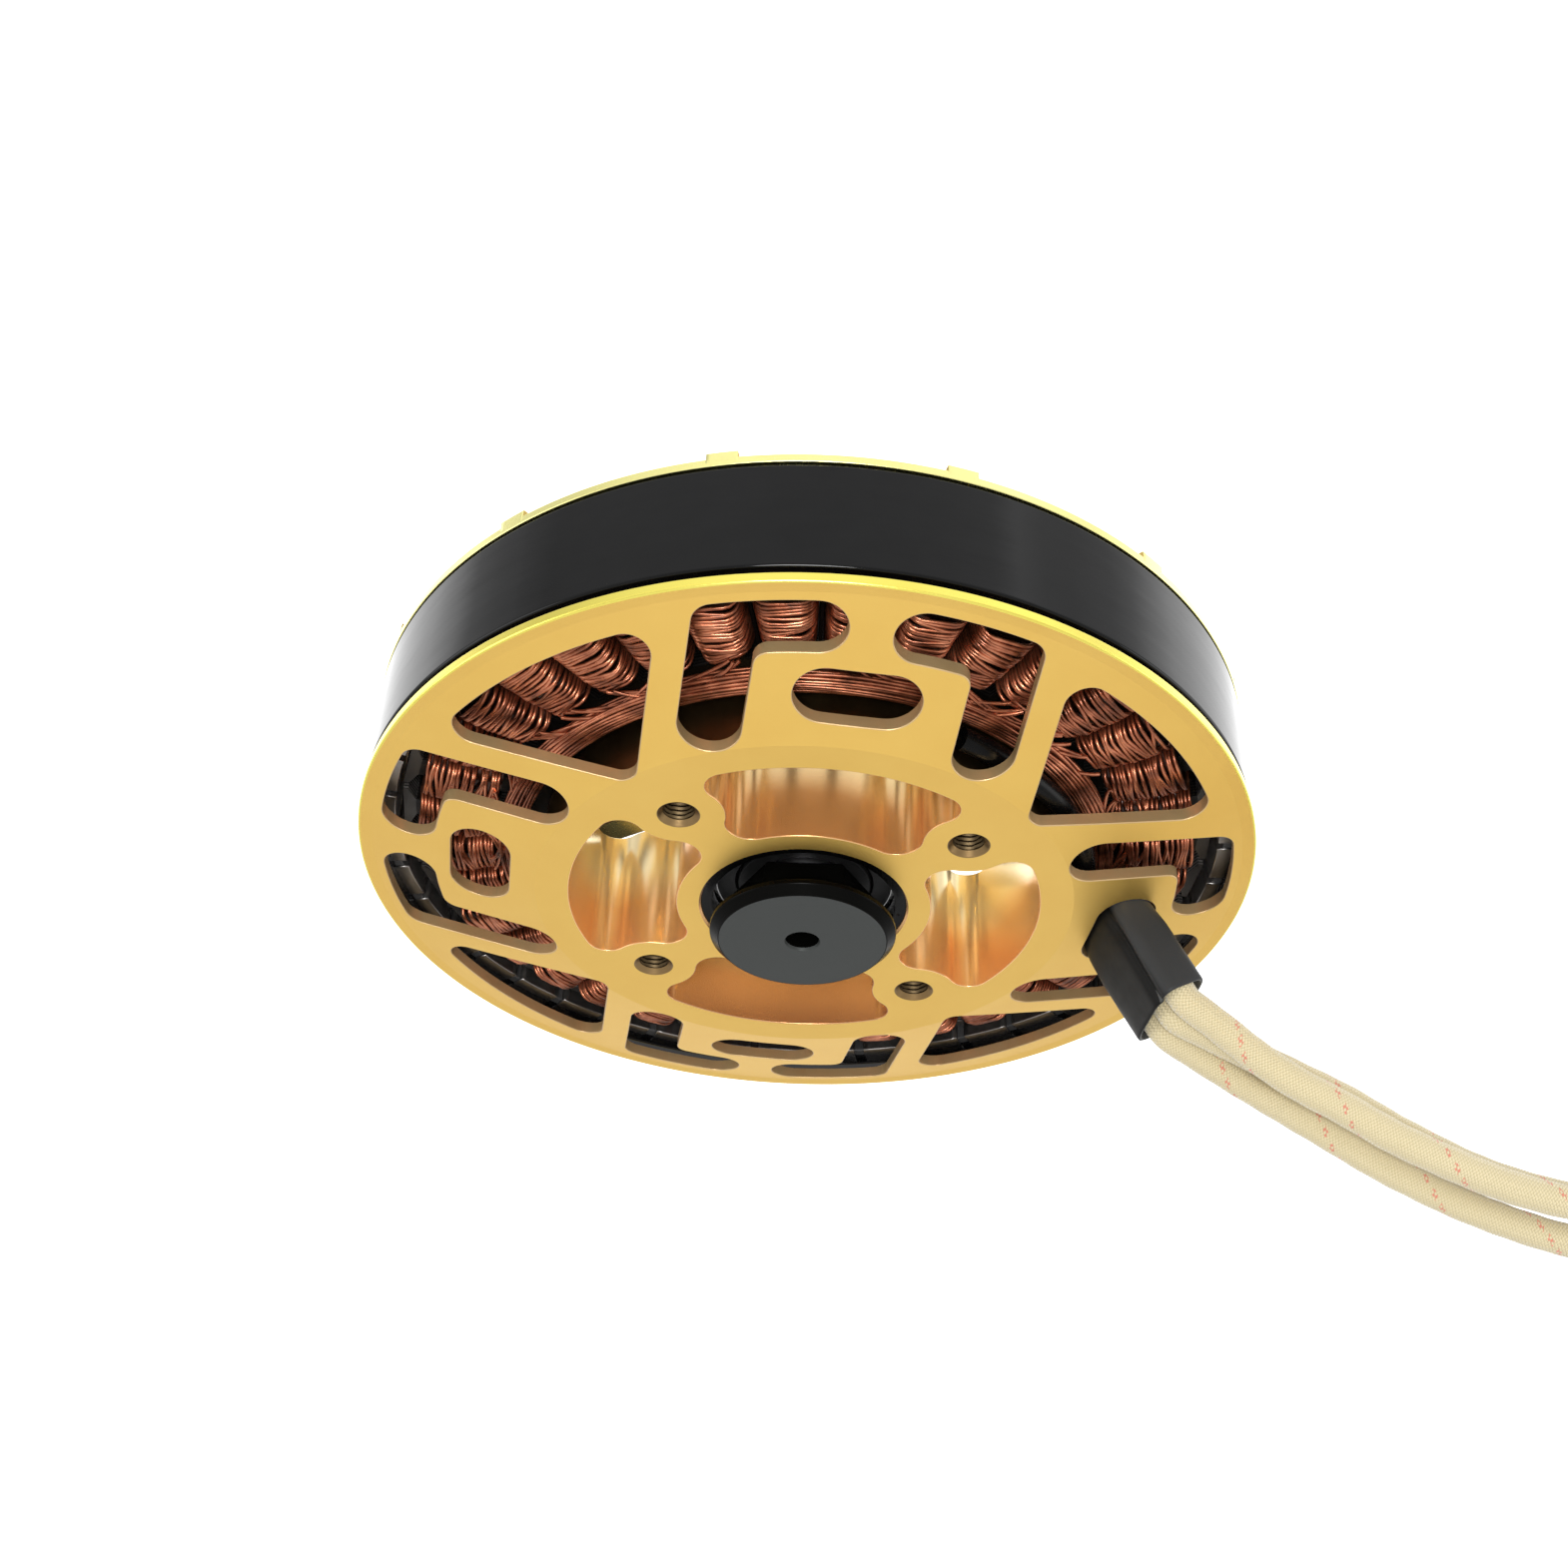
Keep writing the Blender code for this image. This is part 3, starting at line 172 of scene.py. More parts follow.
# Leads and their sleeve
LEAD_DIAMETER = 3.2
LEAD_BARE_LENGTH = 7.0
LEAD_PITCH = 3.25
LEAD_STRAIGHT = 1.0
LEAD_ROOT_DEPTH = 1.7
SLEEVE_START, SLEEVE_BEND, SLEEVE_END = array(((30.6, 0.0, 4.7), (31.7, 0.0, 0.9), (36.1, 0.0, -7.3)))
LEAD_ROUTES = {
    "lead_1": [(39.8, -3.2, -10.6), (43.3, -3.1, -13.5), (46.8, -3.0, -15.7), (50.8, -2.8, -17.6),
               (56.3, -2.6, -20.4), (62.3, -2.4, -22.7), (68.2, -2.2, -24.3), (74.5, -2.2, -25.1),
               (81.0, -2.4, -25.2), (88.0, -2.8, -24.6), (95.0, -3.4, -23.4)],
    "lead_2": [(39.9, 3.2, -10.3), (43.8, 3.0, -12.9), (47.1, 2.7, -15.0), (52.5, 2.5, -18.3),
               (58.2, 2.4, -21.5), (64.3, 2.3, -24.1), (69.9, 2.3, -25.8), (76.5, 2.5, -26.9),
               (83.5, 2.8, -27.2), (90.5, 3.4, -26.7)],
    "lead_3": [(40.1, 0.0, -9.7), (44.2, -0.1, -11.7), (48.6, 0.2, -13.4), (53.2, 0.8, -15.1),
               (58.6, 1.1, -17.9), (64.4, 1.2, -20.5), (70.2, 1.2, -22.2), (76.5, 1.2, -22.9),
               (83.0, 1.2, -22.8), (89.5, 1.4, -21.8)],
}

# Camera, fitted to the plate's rim and its four screw holes
CAMERA_PLACE = (-20.67, -161.65, -103.95)
CAMERA_TARGET = (-2.375, 0.304, 14.89)
CAMERA_ROLL = 0.04172
CAMERA_LENS = 45.52

# The floor, and the room's brightness by direction about the axis, in degrees from +X
FLOOR_Z = -420.0
FLOOR_HALF = 4000.0
ROOM_BANDS = [(-180, 0.72), (-169, 0.62), (-150, 0.85), (-120, 1.05), (-60, 1.05), (-50, 1.1), (-43, 1.5), (-35, 1.1),
              (-27, 0.95), (-14, 0.92), (-6, 1.1), (0, 1.5), (10, 1.95), (60, 2.05), (120, 2.0), (145, 1.85),
              (156, 1.4), (163, 0.88), (172, 0.76)]
ROOM_MOST = 2.05
ROOM_LEVEL = 1.05


class Nodes:
    """The nodes of one tree, added and joined in short hand."""

    def __init__(self, tree, space="Object"):
        self.tree = tree
        self.place = self.add("TexCoord")[space]

    def node(self, kind, inputs=(), **settings):
        node = self.tree.nodes.new("ShaderNode" + kind)
        for name, value in settings.items():
            setattr(node, name, value)
        for name, value in dict(inputs).items():
            if isinstance(value, bpy.types.NodeSocket):
                self.tree.links.new(value, node.inputs[name])
            else:
                node.inputs[name].default_value = value
        return node

    def add(self, kind, inputs=(), **settings):
        return self.node(kind, inputs, **settings).outputs

    def math(self, operation, first, second=0.0):
        return self.add("Math", {0: first, 1: second}, operation=operation)[0]

    def sum(self, first, second):
        return self.math("ADD", first, second)

    def times(self, first, second):
        return self.math("MULTIPLY", first, second)

    def noise(self, scale, detail=3.0, place=None, roughness=0.5):
        return self.add("TexNoise", {"Vector": place or self.place, "Scale": scale, "Detail": detail,
                                     "Roughness": roughness})[0]

    def ramp(self, factor, *stops):
        node = self.node("ValToRGB", {"Fac": factor})
        elements = node.color_ramp.elements
        while len(elements) < len(stops):
            elements.new(0.5)
        for element, (position, colour) in zip(elements, stops):
            element.position, element.color = position, (*colour, 1.0)
        return node.outputs[0]

    def mix(self, factor, first, second):
        return self.add("Mix", {"Factor": factor, 6: first, 7: second}, data_type="RGBA")[2]

    def span(self, factor, low, high):
        """The factor from 0 to 1 turned into a range."""
        return self.add("MapRange", {"Value": factor, "To Min": low, "To Max": high})[0]

    def share(self, value, low, high, **settings):
        """A range turned into 0 to 1."""
        return self.add("MapRange", {"Value": value, "From Min": low, "From Max": high}, **settings)[0]

    def bump(self, height, distance, strength=1.0, onto=None):
        inputs = {"Height": height, "Distance": distance, "Strength": strength}
        return self.add("Bump", {**inputs, "Normal": onto} if onto else inputs)[0]

    def polar(self):
        """The distance from the axis and the height, both in millimetres."""
        x, y, z = self.add("SeparateXYZ", {"Vector": self.place})
        flat = self.add("CombineXYZ", {"X": x, "Y": y})[0]
        distance = self.add("VectorMath", {0: flat}, operation="LENGTH")["Value"]
        return self.times(distance, 1000.0), self.times(z, 1000.0)

    def marks(self, scale, detail, roughness):
        """Turning marks: a noise of the distance from the axis and the height, alike all the way round."""
        distance, height = self.polar()
        line = self.add("CombineXYZ", {"X": distance, "Y": height})[0]
        return self.noise(scale, detail, line, roughness)


class Finish(Nodes):
    """A Principled material whose colour, roughness and relief are painted by its nodes."""

    def __init__(self, name, colour, roughness, metallic=0.0, **settings):
        self.material = bpy.data.materials.new(name)
        self.material.use_nodes = True
        super().__init__(self.material.node_tree)
        self.shader = self.tree.nodes["Principled BSDF"]
        settings.update(Base_Color=(*colour, 1.0), Roughness=roughness, Metallic=metallic)
        for socket, value in settings.items():
            self.shader.inputs[socket.replace("_", " ")].default_value = value

    def paint(self, colour, roughness, relief):
        for socket, source in (("Base Color", colour), ("Roughness", roughness), ("Normal", relief)):
            self.tree.links.new(source, self.shader.inputs[socket])
        return self.material


def tint(colour, share):
    """A colour made darker or lighter."""
    return tuple(min(1.0, part * share) for part in colour)


def gold(name, colour, deep, roughness, marks, metallic=1.0, pale=None):
    """Gold anodised aluminium: fine turning marks along the circles, and a soft mottle of the dye.

    Where a pale colour is given, the colour fades to it between 5 and 9 mm above the mounting face: painted light high
    up the pocket walls.
    """
    paint = Finish("gold_anodised" + name, colour, roughness, metallic)
    turning, grain = paint.marks(14.0, 4.0, 0.7), paint.noise(5200.0, 2.0)
    dye = paint.ramp(paint.noise(160.0, 4.0), (0.3, deep), (0.7, colour))
    # The pale colour higher up is painted light.
    if pale:
        dye = paint.mix(paint.share(paint.polar()[1], 5.0, 9.0), dye, (*pale, 1.0))
    rough = paint.sum(paint.times(grain, 0.6), paint.times(turning, 0.4))
    return paint.paint(dye, paint.span(rough, roughness * 0.75, roughness * 1.3),
                       paint.bump(turning, 0.00002 * marks, 0.6, paint.bump(grain, 0.00001, 0.35)))


def ring_gloss():
    """Gloss black on the ring, with a faint ripple along the turn."""
    paint = Finish("black_gloss_ring", (0.0012, 0.0012, 0.0014), 0.07, Specular_IOR_Level=0.22)
    ripple = paint.noise(90.0, 2.0, paint.add("Mapping", {"Vector": paint.place, "Scale": (1, 1, 4)})[0])
    black = paint.ramp(paint.noise(300.0), (0.3, (0.001, 0.001, 0.0012)), (0.7, (0.002, 0.002, 0.0022)))
    return paint.paint(black, paint.span(paint.noise(900.0), 0.05, 0.09), paint.bump(ripple, 0.00006, 0.5))


def wire_finish(name, bright, deep, brown):
    """Enamelled copper: a warm metal under a glossy, uneven amber coat."""
    paint = Finish(name, bright, 0.32, 0.9, Coat_Weight=0.35, Coat_Roughness=0.12)
    fine = paint.noise(2600.0, 2.0)
    return paint.paint(paint.ramp(paint.noise(420.0), (0.28, brown), (0.5, deep), (0.72, bright)),
                       paint.span(fine, 0.2, 0.45), paint.bump(fine, 0.00003, 0.4))


def satin(name, colour, roughness, metallic=0.0, **settings):
    """A finish with a fine even grain in its roughness, its colour and its relief."""
    paint = Finish(name, colour, roughness, metallic, **settings)
    grain = paint.noise(1500.0)
    return paint.paint(paint.ramp(paint.noise(180.0), (0.3, tint(colour, 0.8)), (0.7, tint(colour, 1.18))),
                       paint.span(grain, roughness * 0.8, min(1.0, roughness * 1.2)), paint.bump(grain, 0.00001, 0.5))


def turned_metal(name, colour, roughness, marks, metallic=1.0):
    """A turned metal face: rings of fine marks about the axis."""
    paint = Finish(name, colour, roughness, metallic)
    rings = paint.marks(9.0, 5.0, 0.75)
    return paint.paint(paint.ramp(rings, (0.3, tint(colour, 0.85)), (0.7, tint(colour, 1.12))),
                       paint.span(rings, roughness * 0.8, roughness * 1.25), paint.bump(rings, 0.00002 * marks, 0.7))


def shrink_film():
    """Black heat-shrink film, paler towards the folded sides: the fade runs along |y|."""
    paint = Finish("black_heat_shrink", (0.012, 0.012, 0.011), 0.45, Specular_IOR_Level=0.16)
    y = paint.add("SeparateXYZ", {"Vector": paint.place})["Y"]
    grain = paint.noise(700.0)
    side = paint.sum(paint.times(paint.math("ABSOLUTE", y), 100.0), paint.times(paint.noise(160.0), 0.1))
    return paint.paint(paint.ramp(side, (0.43, (0.003, 0.003, 0.0025)), (0.52, (0.028, 0.029, 0.03))),
                       paint.span(grain, 0.38, 0.55), paint.bump(grain, 0.00002, 0.5))


def laminated():
    """The stator's stack of thin sheets: much lighter at the tooth tips, painted light standing in for the glints
    there, and under a dark varnish further in.
    """
    paint = Finish("core_laminate", (0.03, 0.027, 0.025), 0.45, 0.7)
    distance, height = paint.polar()
    stacked = paint.sum(paint.times(paint.math("SINE", paint.times(height, tau / 0.35)), 0.5), 0.5)
    worn = paint.noise(700.0, 4.0)
    sheets = paint.times(stacked, worn)
    # The lighter tip colour is painted light for the glints at the tooth tips.
    bare = paint.ramp(sheets, (0.1, (0.06, 0.055, 0.05)), (0.6, (0.34, 0.32, 0.30)))
    varnish = paint.ramp(sheets, (0.1, (0.006, 0.005, 0.004)), (0.6, (0.03, 0.024, 0.02)))
    return paint.paint(paint.mix(paint.math("GREATER_THAN", distance, TIP_START), varnish, bare),
                       paint.span(worn, 0.3, 0.6), paint.bump(stacked, 0.00004, 0.6))


def woven_cover():
    """Woven sleeving: threads that cross slantwise over and under, and a red tracer thread round it in dashes.

    On the tube's own map u runs along and v around. The threads are |sin(pi * (10 u + 20 v))| and the same with
    10 u - 20 v, raised in turn like the squares of a board. The tracer lies where v - 0.294 u is near a half.
    """
    paint = Finish("woven_cream_sleeving", (0.66, 0.60, 0.38), 0.75, Sheen_Weight=0.5, Sheen_Roughness=0.4,
                   Specular_IOR_Level=0.25)
    times, math = paint.times, paint.math
    u, v, _ = paint.add("SeparateXYZ", {"Vector": paint.add("UVMap", uv_map="surface")[0]})
    along, around = times(u, 10.0), times(v, 20.0)
    first, second = paint.sum(along, around), math("SUBTRACT", along, around)
    over = math("MODULO", math("ABSOLUTE", paint.sum(math("FLOOR", first), math("FLOOR", second))), 2.0)
    ridge, other = (math("ABSOLUTE", math("SINE", times(phase, pi))) for phase in (first, second))
    height = paint.sum(times(ridge, over), times(other, math("SUBTRACT", 1.0, over)))
    fibre = paint.noise(5200.0, 2.0)
    # The cloth is darker where the threads lie low: painted shade in the weave's hollows.
    cloth = paint.ramp(height, (0.1, (0.42, 0.345, 0.19)), (0.5, (0.57, 0.485, 0.295)), (0.85, (0.65, 0.565, 0.365)))
    cloth = paint.mix(paint.span(paint.noise(240.0), 0.0, 0.28), cloth, (0.50, 0.42, 0.225, 1.0))
    turn = math("FRACT", math("SUBTRACT", v, times(u, 0.294)))
    stripe = math("LESS_THAN", math("ABSOLUTE", math("SUBTRACT", turn, 0.5)), 0.032)
    group = math("LESS_THAN", math("FRACT", times(u, 2.6)), 0.55)
    dashes = times(times(stripe, group), math("GREATER_THAN", over, 0.5))
    return paint.paint(paint.mix(dashes, cloth, (0.60, 0.22, 0.15, 1.0)), paint.span(fibre, 0.62, 0.88),
                       paint.bump(height, 0.00007, 0.8, paint.bump(fibre, 0.00002, 0.4)))


# The finishes of the base, by number: face, wall (painted shade), edge (painted highlight), pocket (painted light up
# its walls), thread (painted shade), shaded outside (painted shade), and lit and shaded pocket (painted light and
# painted shade)
BASE_GOLD = [
    gold("", (0.90, 0.60, 0.155), (0.875, 0.57, 0.143), 0.42, 0.6),
    gold("_wall_shade", (0.62, 0.44, 0.22), (0.55, 0.37, 0.17), 0.38, 0.6, 0.7),
    gold("_edge_highlight", (0.98, 0.86, 0.17), (0.97, 0.82, 0.15), 0.2, 1.0),
    gold("_pocket", (0.83, 0.48, 0.20), (0.79, 0.44, 0.18), 0.22, 0.05, 0.8, (0.94, 0.73, 0.38)),
    gold("_thread_shade", (0.14, 0.10, 0.05), (0.08, 0.055, 0.03), 0.45, 0.3),
    gold("_shade", (0.30, 0.20, 0.09), (0.24, 0.15, 0.065), 0.3, 0.3),
    gold("_pocket_lit", (0.96, 0.58, 0.26), (0.92, 0.54, 0.24), 0.22, 0.05, 0.8, (1.0, 0.84, 0.50)),
    gold("_pocket_shaded", (0.64, 0.34, 0.15), (0.60, 0.31, 0.135), 0.22, 0.05, 0.8, (0.76, 0.56, 0.28)),
]
FACE, WALL, HIGHLIGHT, POCKET, THREAD_SHADE, SHADE, LIT_POCKET, SHADED_POCKET = range(8)
# The finishes of the cap, by the same numbers for face, wall and edge; the edge gold is a bright copy, painted
# highlight and painted light
CAP_GOLD = [
    gold("_cap", (0.62, 0.41, 0.105), (0.58, 0.375, 0.092), 0.3, 1.6),
    gold("_cap_wall", (0.60, 0.42, 0.13), (0.56, 0.38, 0.11), 0.25, 0.6),
    gold("_rim_highlight", (1.0, 0.94, 0.40), (0.99, 0.92, 0.36), 0.25, 0.8),
]
# The second copper is a near-black copy: painted shade in the depths of the windings.
COPPER = [
    wire_finish("enamelled_copper", (0.72, 0.28, 0.15), (0.38, 0.12, 0.058), (0.10, 0.03, 0.014)),
    wire_finish("winding_depth_shade", (0.05, 0.018, 0.009), (0.03, 0.01, 0.005), (0.015, 0.006, 0.004)),
]
# The side finish is a near-black copy of the black anodising: painted shade on the cap's flank, neck, hole and
# hexagon.
BLACK_CAP = [turned_metal("black_anodised", (0.048, 0.052, 0.05), 0.48, 0.5, 0.6),
             satin("black_anodised_shaded", (0.0015, 0.0015, 0.0012), 0.22, Specular_IOR_Level=0.05)]
# The shield finish is also laid on the inner races' lower faces: painted shade over their steel.
BEARING = [turned_metal("bearing_steel", (0.62, 0.62, 0.62), 0.2, 0.6),
           satin("bearing_shield_and_shade", (0.01, 0.01, 0.01), 0.45, Specular_IOR_Level=0.2)]
# Inside the sleeve's mouth the film is near black, painted shadow, and its inturned rim is a lighter copy, painted
# light.
FILM = [shrink_film(), satin("sleeve_mouth_shadow", (0.008, 0.008, 0.008), 0.8),
        satin("heat_shrink_rim_lit", (0.05, 0.053, 0.052), 0.5)]
SEAL = satin("black_seal", (0.001, 0.001, 0.001), 0.24, Specular_IOR_Level=0.1)
SHAFT_STEEL = turned_metal("shaft_steel", (0.34, 0.34, 0.35), 0.3, 1.6)
SCREW_STEEL = satin("screw_black", (0.045, 0.045, 0.045), 0.4, 0.9)
MAGNET = satin("magnet_plating", (0.30, 0.29, 0.28), 0.38, 1.0)
GLUE = satin("magnet_glue", (0.035, 0.035, 0.035), 0.55)
# Near-black sheets between the coils: painted shade in the gaps.
GAP_SHADE = satin("coil_gap_shade", (0.003, 0.002, 0.0015), 0.6, Specular_IOR_Level=0.05)
TAIL = satin("black_tail", (0.002, 0.002, 0.002), 0.28, Specular_IOR_Level=0.12)
TINNED = satin("tinned_wire", (0.46, 0.44, 0.41), 0.35, 1.0)
WOVEN = woven_cover()


def add_camera():
    """The camera at the place from which the photograph was taken."""
    place = Vector(CAMERA_PLACE)
    forward = (Vector(CAMERA_TARGET) - place).normalized()
    right = forward.cross(Vector((0, 0, 1))).normalized()
    up = right.cross(forward)
    side = right * cos(CAMERA_ROLL) + up * sin(CAMERA_ROLL)
    top = up * cos(CAMERA_ROLL) - right * sin(CAMERA_ROLL)
    camera = bpy.data.objects.new("camera", bpy.data.cameras.new("camera"))
    camera.data.lens, camera.data.sensor_width = CAMERA_LENS, 36.0
    camera.data.clip_start, camera.data.clip_end = 0.005, 20.0
    camera.matrix_world = Matrix.Translation(place * MM) @ Matrix((side, top, -forward)).transposed().to_4x4()
    bpy.context.collection.objects.link(camera)
    bpy.context.scene.camera = camera


def unit(vectors):
    """Vectors scaled to length one."""
    return vectors / np.maximum(norm(vectors, axis=-1, keepdims=True), 1e-12)


def full_turn(count):
    """Evenly spaced angles round a circle."""
    return np.linspace(0, tau, count, endpoint=False)


def cylinder(radius, angle, z):
    """Points at a distance from the axis, an angle and a height: (r cos a, r sin a, z)."""
    return stack(np.broadcast_arrays(radius * np.cos(angle), radius * np.sin(angle), z), -1)


def lifted(flat, z):
    """Flat points with a height, or with one height each."""
    return np.column_stack([flat, np.broadcast_to(z, len(flat))])


def shape(points, normals, faces, finish=0):
    """A stretch of surface: its points, their normals, its faces and the number of its finish."""
    return {"points": points.reshape(-1, 3), "normals": normals.reshape(-1, 3), "faces": faces, "finish": finish}


def skin(points, normals, finish=0, close_rows=False, close_columns=True):
    """A stretch of surface on a grid of points: quads between neighbours, wound along a row and then up."""
    rows, columns = points.shape[:2]
    row, column = np.meshgrid(np.arange(rows if close_rows else rows - 1),
                              np.arange(columns if close_columns else columns - 1), indexing="ij")
    row, column = row.ravel(), column.ravel()
    next_row, next_column = (row + 1) % rows, (column + 1) % columns
    faces = stack([row * columns + column, row * columns + next_column,
                   next_row * columns + next_column, next_row * columns + column], -1)
    return shape(points, normals, faces, finish)


def make_piece(name, shapes, materials, body, replaces=(), uv=None):
    """An object from stretches of surface, smooth with the normals given, riding on a body."""
    points, normals = (join([stretch[key] for stretch in shapes]) for key in ("points", "normals"))
    faces, finishes, start = [], [], 0
    for stretch in shapes:
        faces += (stretch["faces"] + start).tolist()
        finishes += [stretch["finish"]] * len(stretch["faces"])
        start += len(stretch["points"])
    mesh = bpy.data.meshes.new(name)
    mesh.from_pydata((points * MM).tolist(), [], faces)
    for material in materials:
        mesh.materials.append(material)
    mesh.polygons.foreach_set("material_index", array(finishes, dtype=np.int32))
    mesh.shade_smooth()
    if uv is not None:
        corner = np.empty(len(mesh.loops), dtype=np.int32)
        mesh.loops.foreach_get("vertex_index", corner)
        mesh.uv_layers.new(name="surface").data.foreach_set("uv", uv[corner].astype(np.float32).ravel())
    mesh.normals_split_custom_set_from_vertices(unit(normals).tolist())
    mesh.update()
    piece = bpy.data.objects.new(name, mesh)
    bpy.context.collection.objects.link(piece)
    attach(piece, body)
    if replaces:
        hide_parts(*replaces)
    return piece


def arc(centre, radius, start_deg, end_deg, chord=0.3):
    """Points of a circle's arc, both ends included, about a chord's length apart."""
    count = max(3, ceil(abs(radians(end_deg - start_deg)) * radius / chord))
    angle = np.radians(np.linspace(start_deg, end_deg, count + 1))
    return stack([centre[0] + radius * np.cos(angle), centre[1] + radius * np.sin(angle)], -1)


def circle(radius, chord=0.5, centre=AXIS):
    """A closed circle of points."""
    return arc(centre, radius, 0, 360, chord)[:-1]


def polar(radius, angle_deg):
    """The point at a distance and an angle from the axis."""
    return radius * cos(radians(angle_deg)), radius * sin(radians(angle_deg))


def heading(target, origin=AXIS):
    """The direction from one point to another, in degrees."""
    return degrees(atan2(target[1] - origin[1], target[0] - origin[0]))


def turned(outline, angle_deg):
    """An outline turned about the axis."""
    cosine, sine = polar(1.0, angle_deg)
    return outline @ array([[cosine, sine], [-sine, cosine]])


def mirrored(outline):
    """An outline mirrored across the X axis."""
    return outline[::-1] * (1, -1)


def travelled(points):
    """The distance along a line at each of its points."""
    return join([[0], np.cumsum(norm(np.diff(points, axis=0), axis=1))])


def sampled(points, length, where):
    """A line's points at distances along it."""
    return stack([np.interp(where, length, column) for column in points.T], -1)


def dense(outline, step=0.8):
    """A closed outline with points added on its long straight stretches."""
    closed = join([outline, outline[:1]])
    lengths = travelled(closed)
    keep = join([[True], np.diff(lengths) > 1e-6])
    closed, lengths = closed[keep], lengths[keep]
    extra = [np.linspace(a, a + gap, ceil(gap / step) + 1)[1:-1]
             for a, gap in zip(lengths, np.diff(lengths)) if gap > step]
    return sampled(closed, lengths, np.sort(join([lengths[:-1], *extra])))


def joined(*parts):
    """Outline stretches as one closed loop without coincident points."""
    points = join(parts)
    return dense(points[norm(points - np.roll(points, 1, 0), axis=1) > 1e-4])


def wound(loop, hole):
    """A loop wound so that the material lies on its left."""
    x, y = loop.T
    area = np.sum(x * np.roll(y, -1) - y * np.roll(x, -1))
    return loop[::-1] if (area > 0) == hole else loop


def into_material(loop):
    """Unit normals at a loop's points, on its left."""
    ahead = unit(np.roll(loop, -1, 0) - loop)
    along = unit(ahead + np.roll(ahead, 1, 0))
    return stack([-along[:, 1], along[:, 0]], -1)


def inside(points, loop):
    """Which points lie inside a loop, by counting the sides to their right."""
    x, y = points[:, :1], points[:, 1:]
    (x0, y0), (x1, y1) = loop.T, np.roll(loop, -1, 0).T
    rise = np.where(y1 == y0, 1e-12, y1 - y0)
    return (((y0 > y) != (y1 > y)) & (x < (x1 - x0) * (y - y0) / rise + x0)).sum(1) % 2 == 1


def level(z):
    """A flat face's profile."""
    return (0, 200), (z, z)


def height_at(profile, flat):
    """z and its slope along the radius at points, from a profile of radii and heights."""
    radii, heights = (array(part, dtype=float) for part in profile)
    distance = norm(flat, axis=1)
    zone = np.clip(np.searchsorted(radii, distance) - 1, 0, len(radii) - 2)
    return np.interp(distance, radii, heights), (np.diff(heights) / np.diff(radii))[zone]


def face_normals(flat, slope, facing):
    """Normals of a turned face at points, from its slope along the radius."""
    return unit(lifted(-unit(flat) * slope[:, None], 1.0)) * facing


def sheet(outer, holes, profile, facing, outer_round=0.0, hole_round=0.0, spacing=1.7, finish=0):
    """A turned face between an outer loop and holes, z = profile(radius), one stretch for each slope.

    The flat outline is triangulated with extra points on rings, and denser ones where the slope changes.
    """
    loops = [wound(outer, False)] + [wound(hole, True) for hole in holes]
    loops = [loop + into_material(loop) * (hole_round if index else outer_round) for index, loop in enumerate(loops)]

    def in_material(points):
        keep = inside(points, loops[0])
        for hole in loops[1:]:
            keep &= ~inside(points, hole)
        return keep

    edge_points = join(loops)
    reach = norm(loops[0], axis=1).max()
    creases = [radius for radius in profile[0] if 0 < radius < reach]
    rings = [circle(radius, spacing) for radius in np.arange(spacing / 2, reach, spacing)]
    rings = [ring for ring in rings if min([abs(norm(ring[0]) - r) for r in creases] + [9]) > spacing / 3]
    inner = join(rings + [circle(radius, 0.45) for radius in creases])
    least = np.where(np.arange(len(inner)) < sum(map(len, rings)), spacing * 0.3, 0.1)
    keep = in_material(inner)
    inner, least = inner[keep], least[keep]
    nearest = join([norm(part[:, None] - edge_points[None], axis=2).min(1)
                    for part in np.array_split(inner, max(1, len(inner) // 300))])
    flat = join([edge_points, inner[nearest > least]])
    edges, start = [], 0
    for loop in loops:
        index = np.arange(len(loop))
        edges += stack([start + index, start + (index + 1) % len(loop)], -1).tolist()
        start += len(loop)
    found = delaunay_2d_cdt([Vector(point) for point in flat.tolist()], edges, [], 0, 1e-6, True)
    triangles = array([origin[0] if origin else -1 for origin in found[3]])[array(found[2])]
    middle = flat[triangles].mean(1)
    keep = in_material(middle) & (triangles >= 0).all(1)
    triangles, middle = triangles[keep], middle[keep]
    a, b, c = (flat[triangles[:, corner]] for corner in range(3))
    (bx, by), (cx, cy) = (b - a).T, (c - a).T
    triangles = np.where(((bx * cy - by * cx) * facing < 0)[:, None], triangles[:, ::-1], triangles)
    zone = np.searchsorted(creases, norm(middle, axis=1))
    stretches = []
    for number in np.unique(zone):
        used, faces = np.unique(triangles[zone == number], return_inverse=True)
        points = flat[used]
        slope = np.broadcast_to(height_at(profile, middle[zone == number][:1])[1], len(points))
        stretches.append(shape(lifted(points, height_at(profile, points)[0]), face_normals(points, slope, facing),
                               faces.reshape(-1, 3), finish))
    return stretches


def band(loop, hole, low, high, low_round, high_round, finish=WALL, steps=4):
    """The wall along a loop, from one turned face to the other, each rounding a quarter circle.

    At the turn t the wall stands round * (1 - sin t) back from the loop and round * (1 - cos t) off the face.
    """
    loop = wound(loop, hole)
    normal = into_material(loop)
    rows, row_normals = [], []
    for profile, radius, sign in ((low, low_round, -1), (high, high_round, 1)):
        turn = np.linspace(0, pi / 2, steps + 1) if radius else array([pi / 2])
        for t in turn if sign < 0 else turn[::-1]:
            flat = loop + normal * radius * (1 - sin(t))
            z, slope = height_at(profile, flat)
            rows.append(lifted(flat, z - sign * radius * (1 - cos(t))))
            row_normals.append(face_normals(flat, slope, sign) * cos(t) + lifted(-normal, 0.0) * sin(t))
    return skin(stack(rows), stack(row_normals), finish)


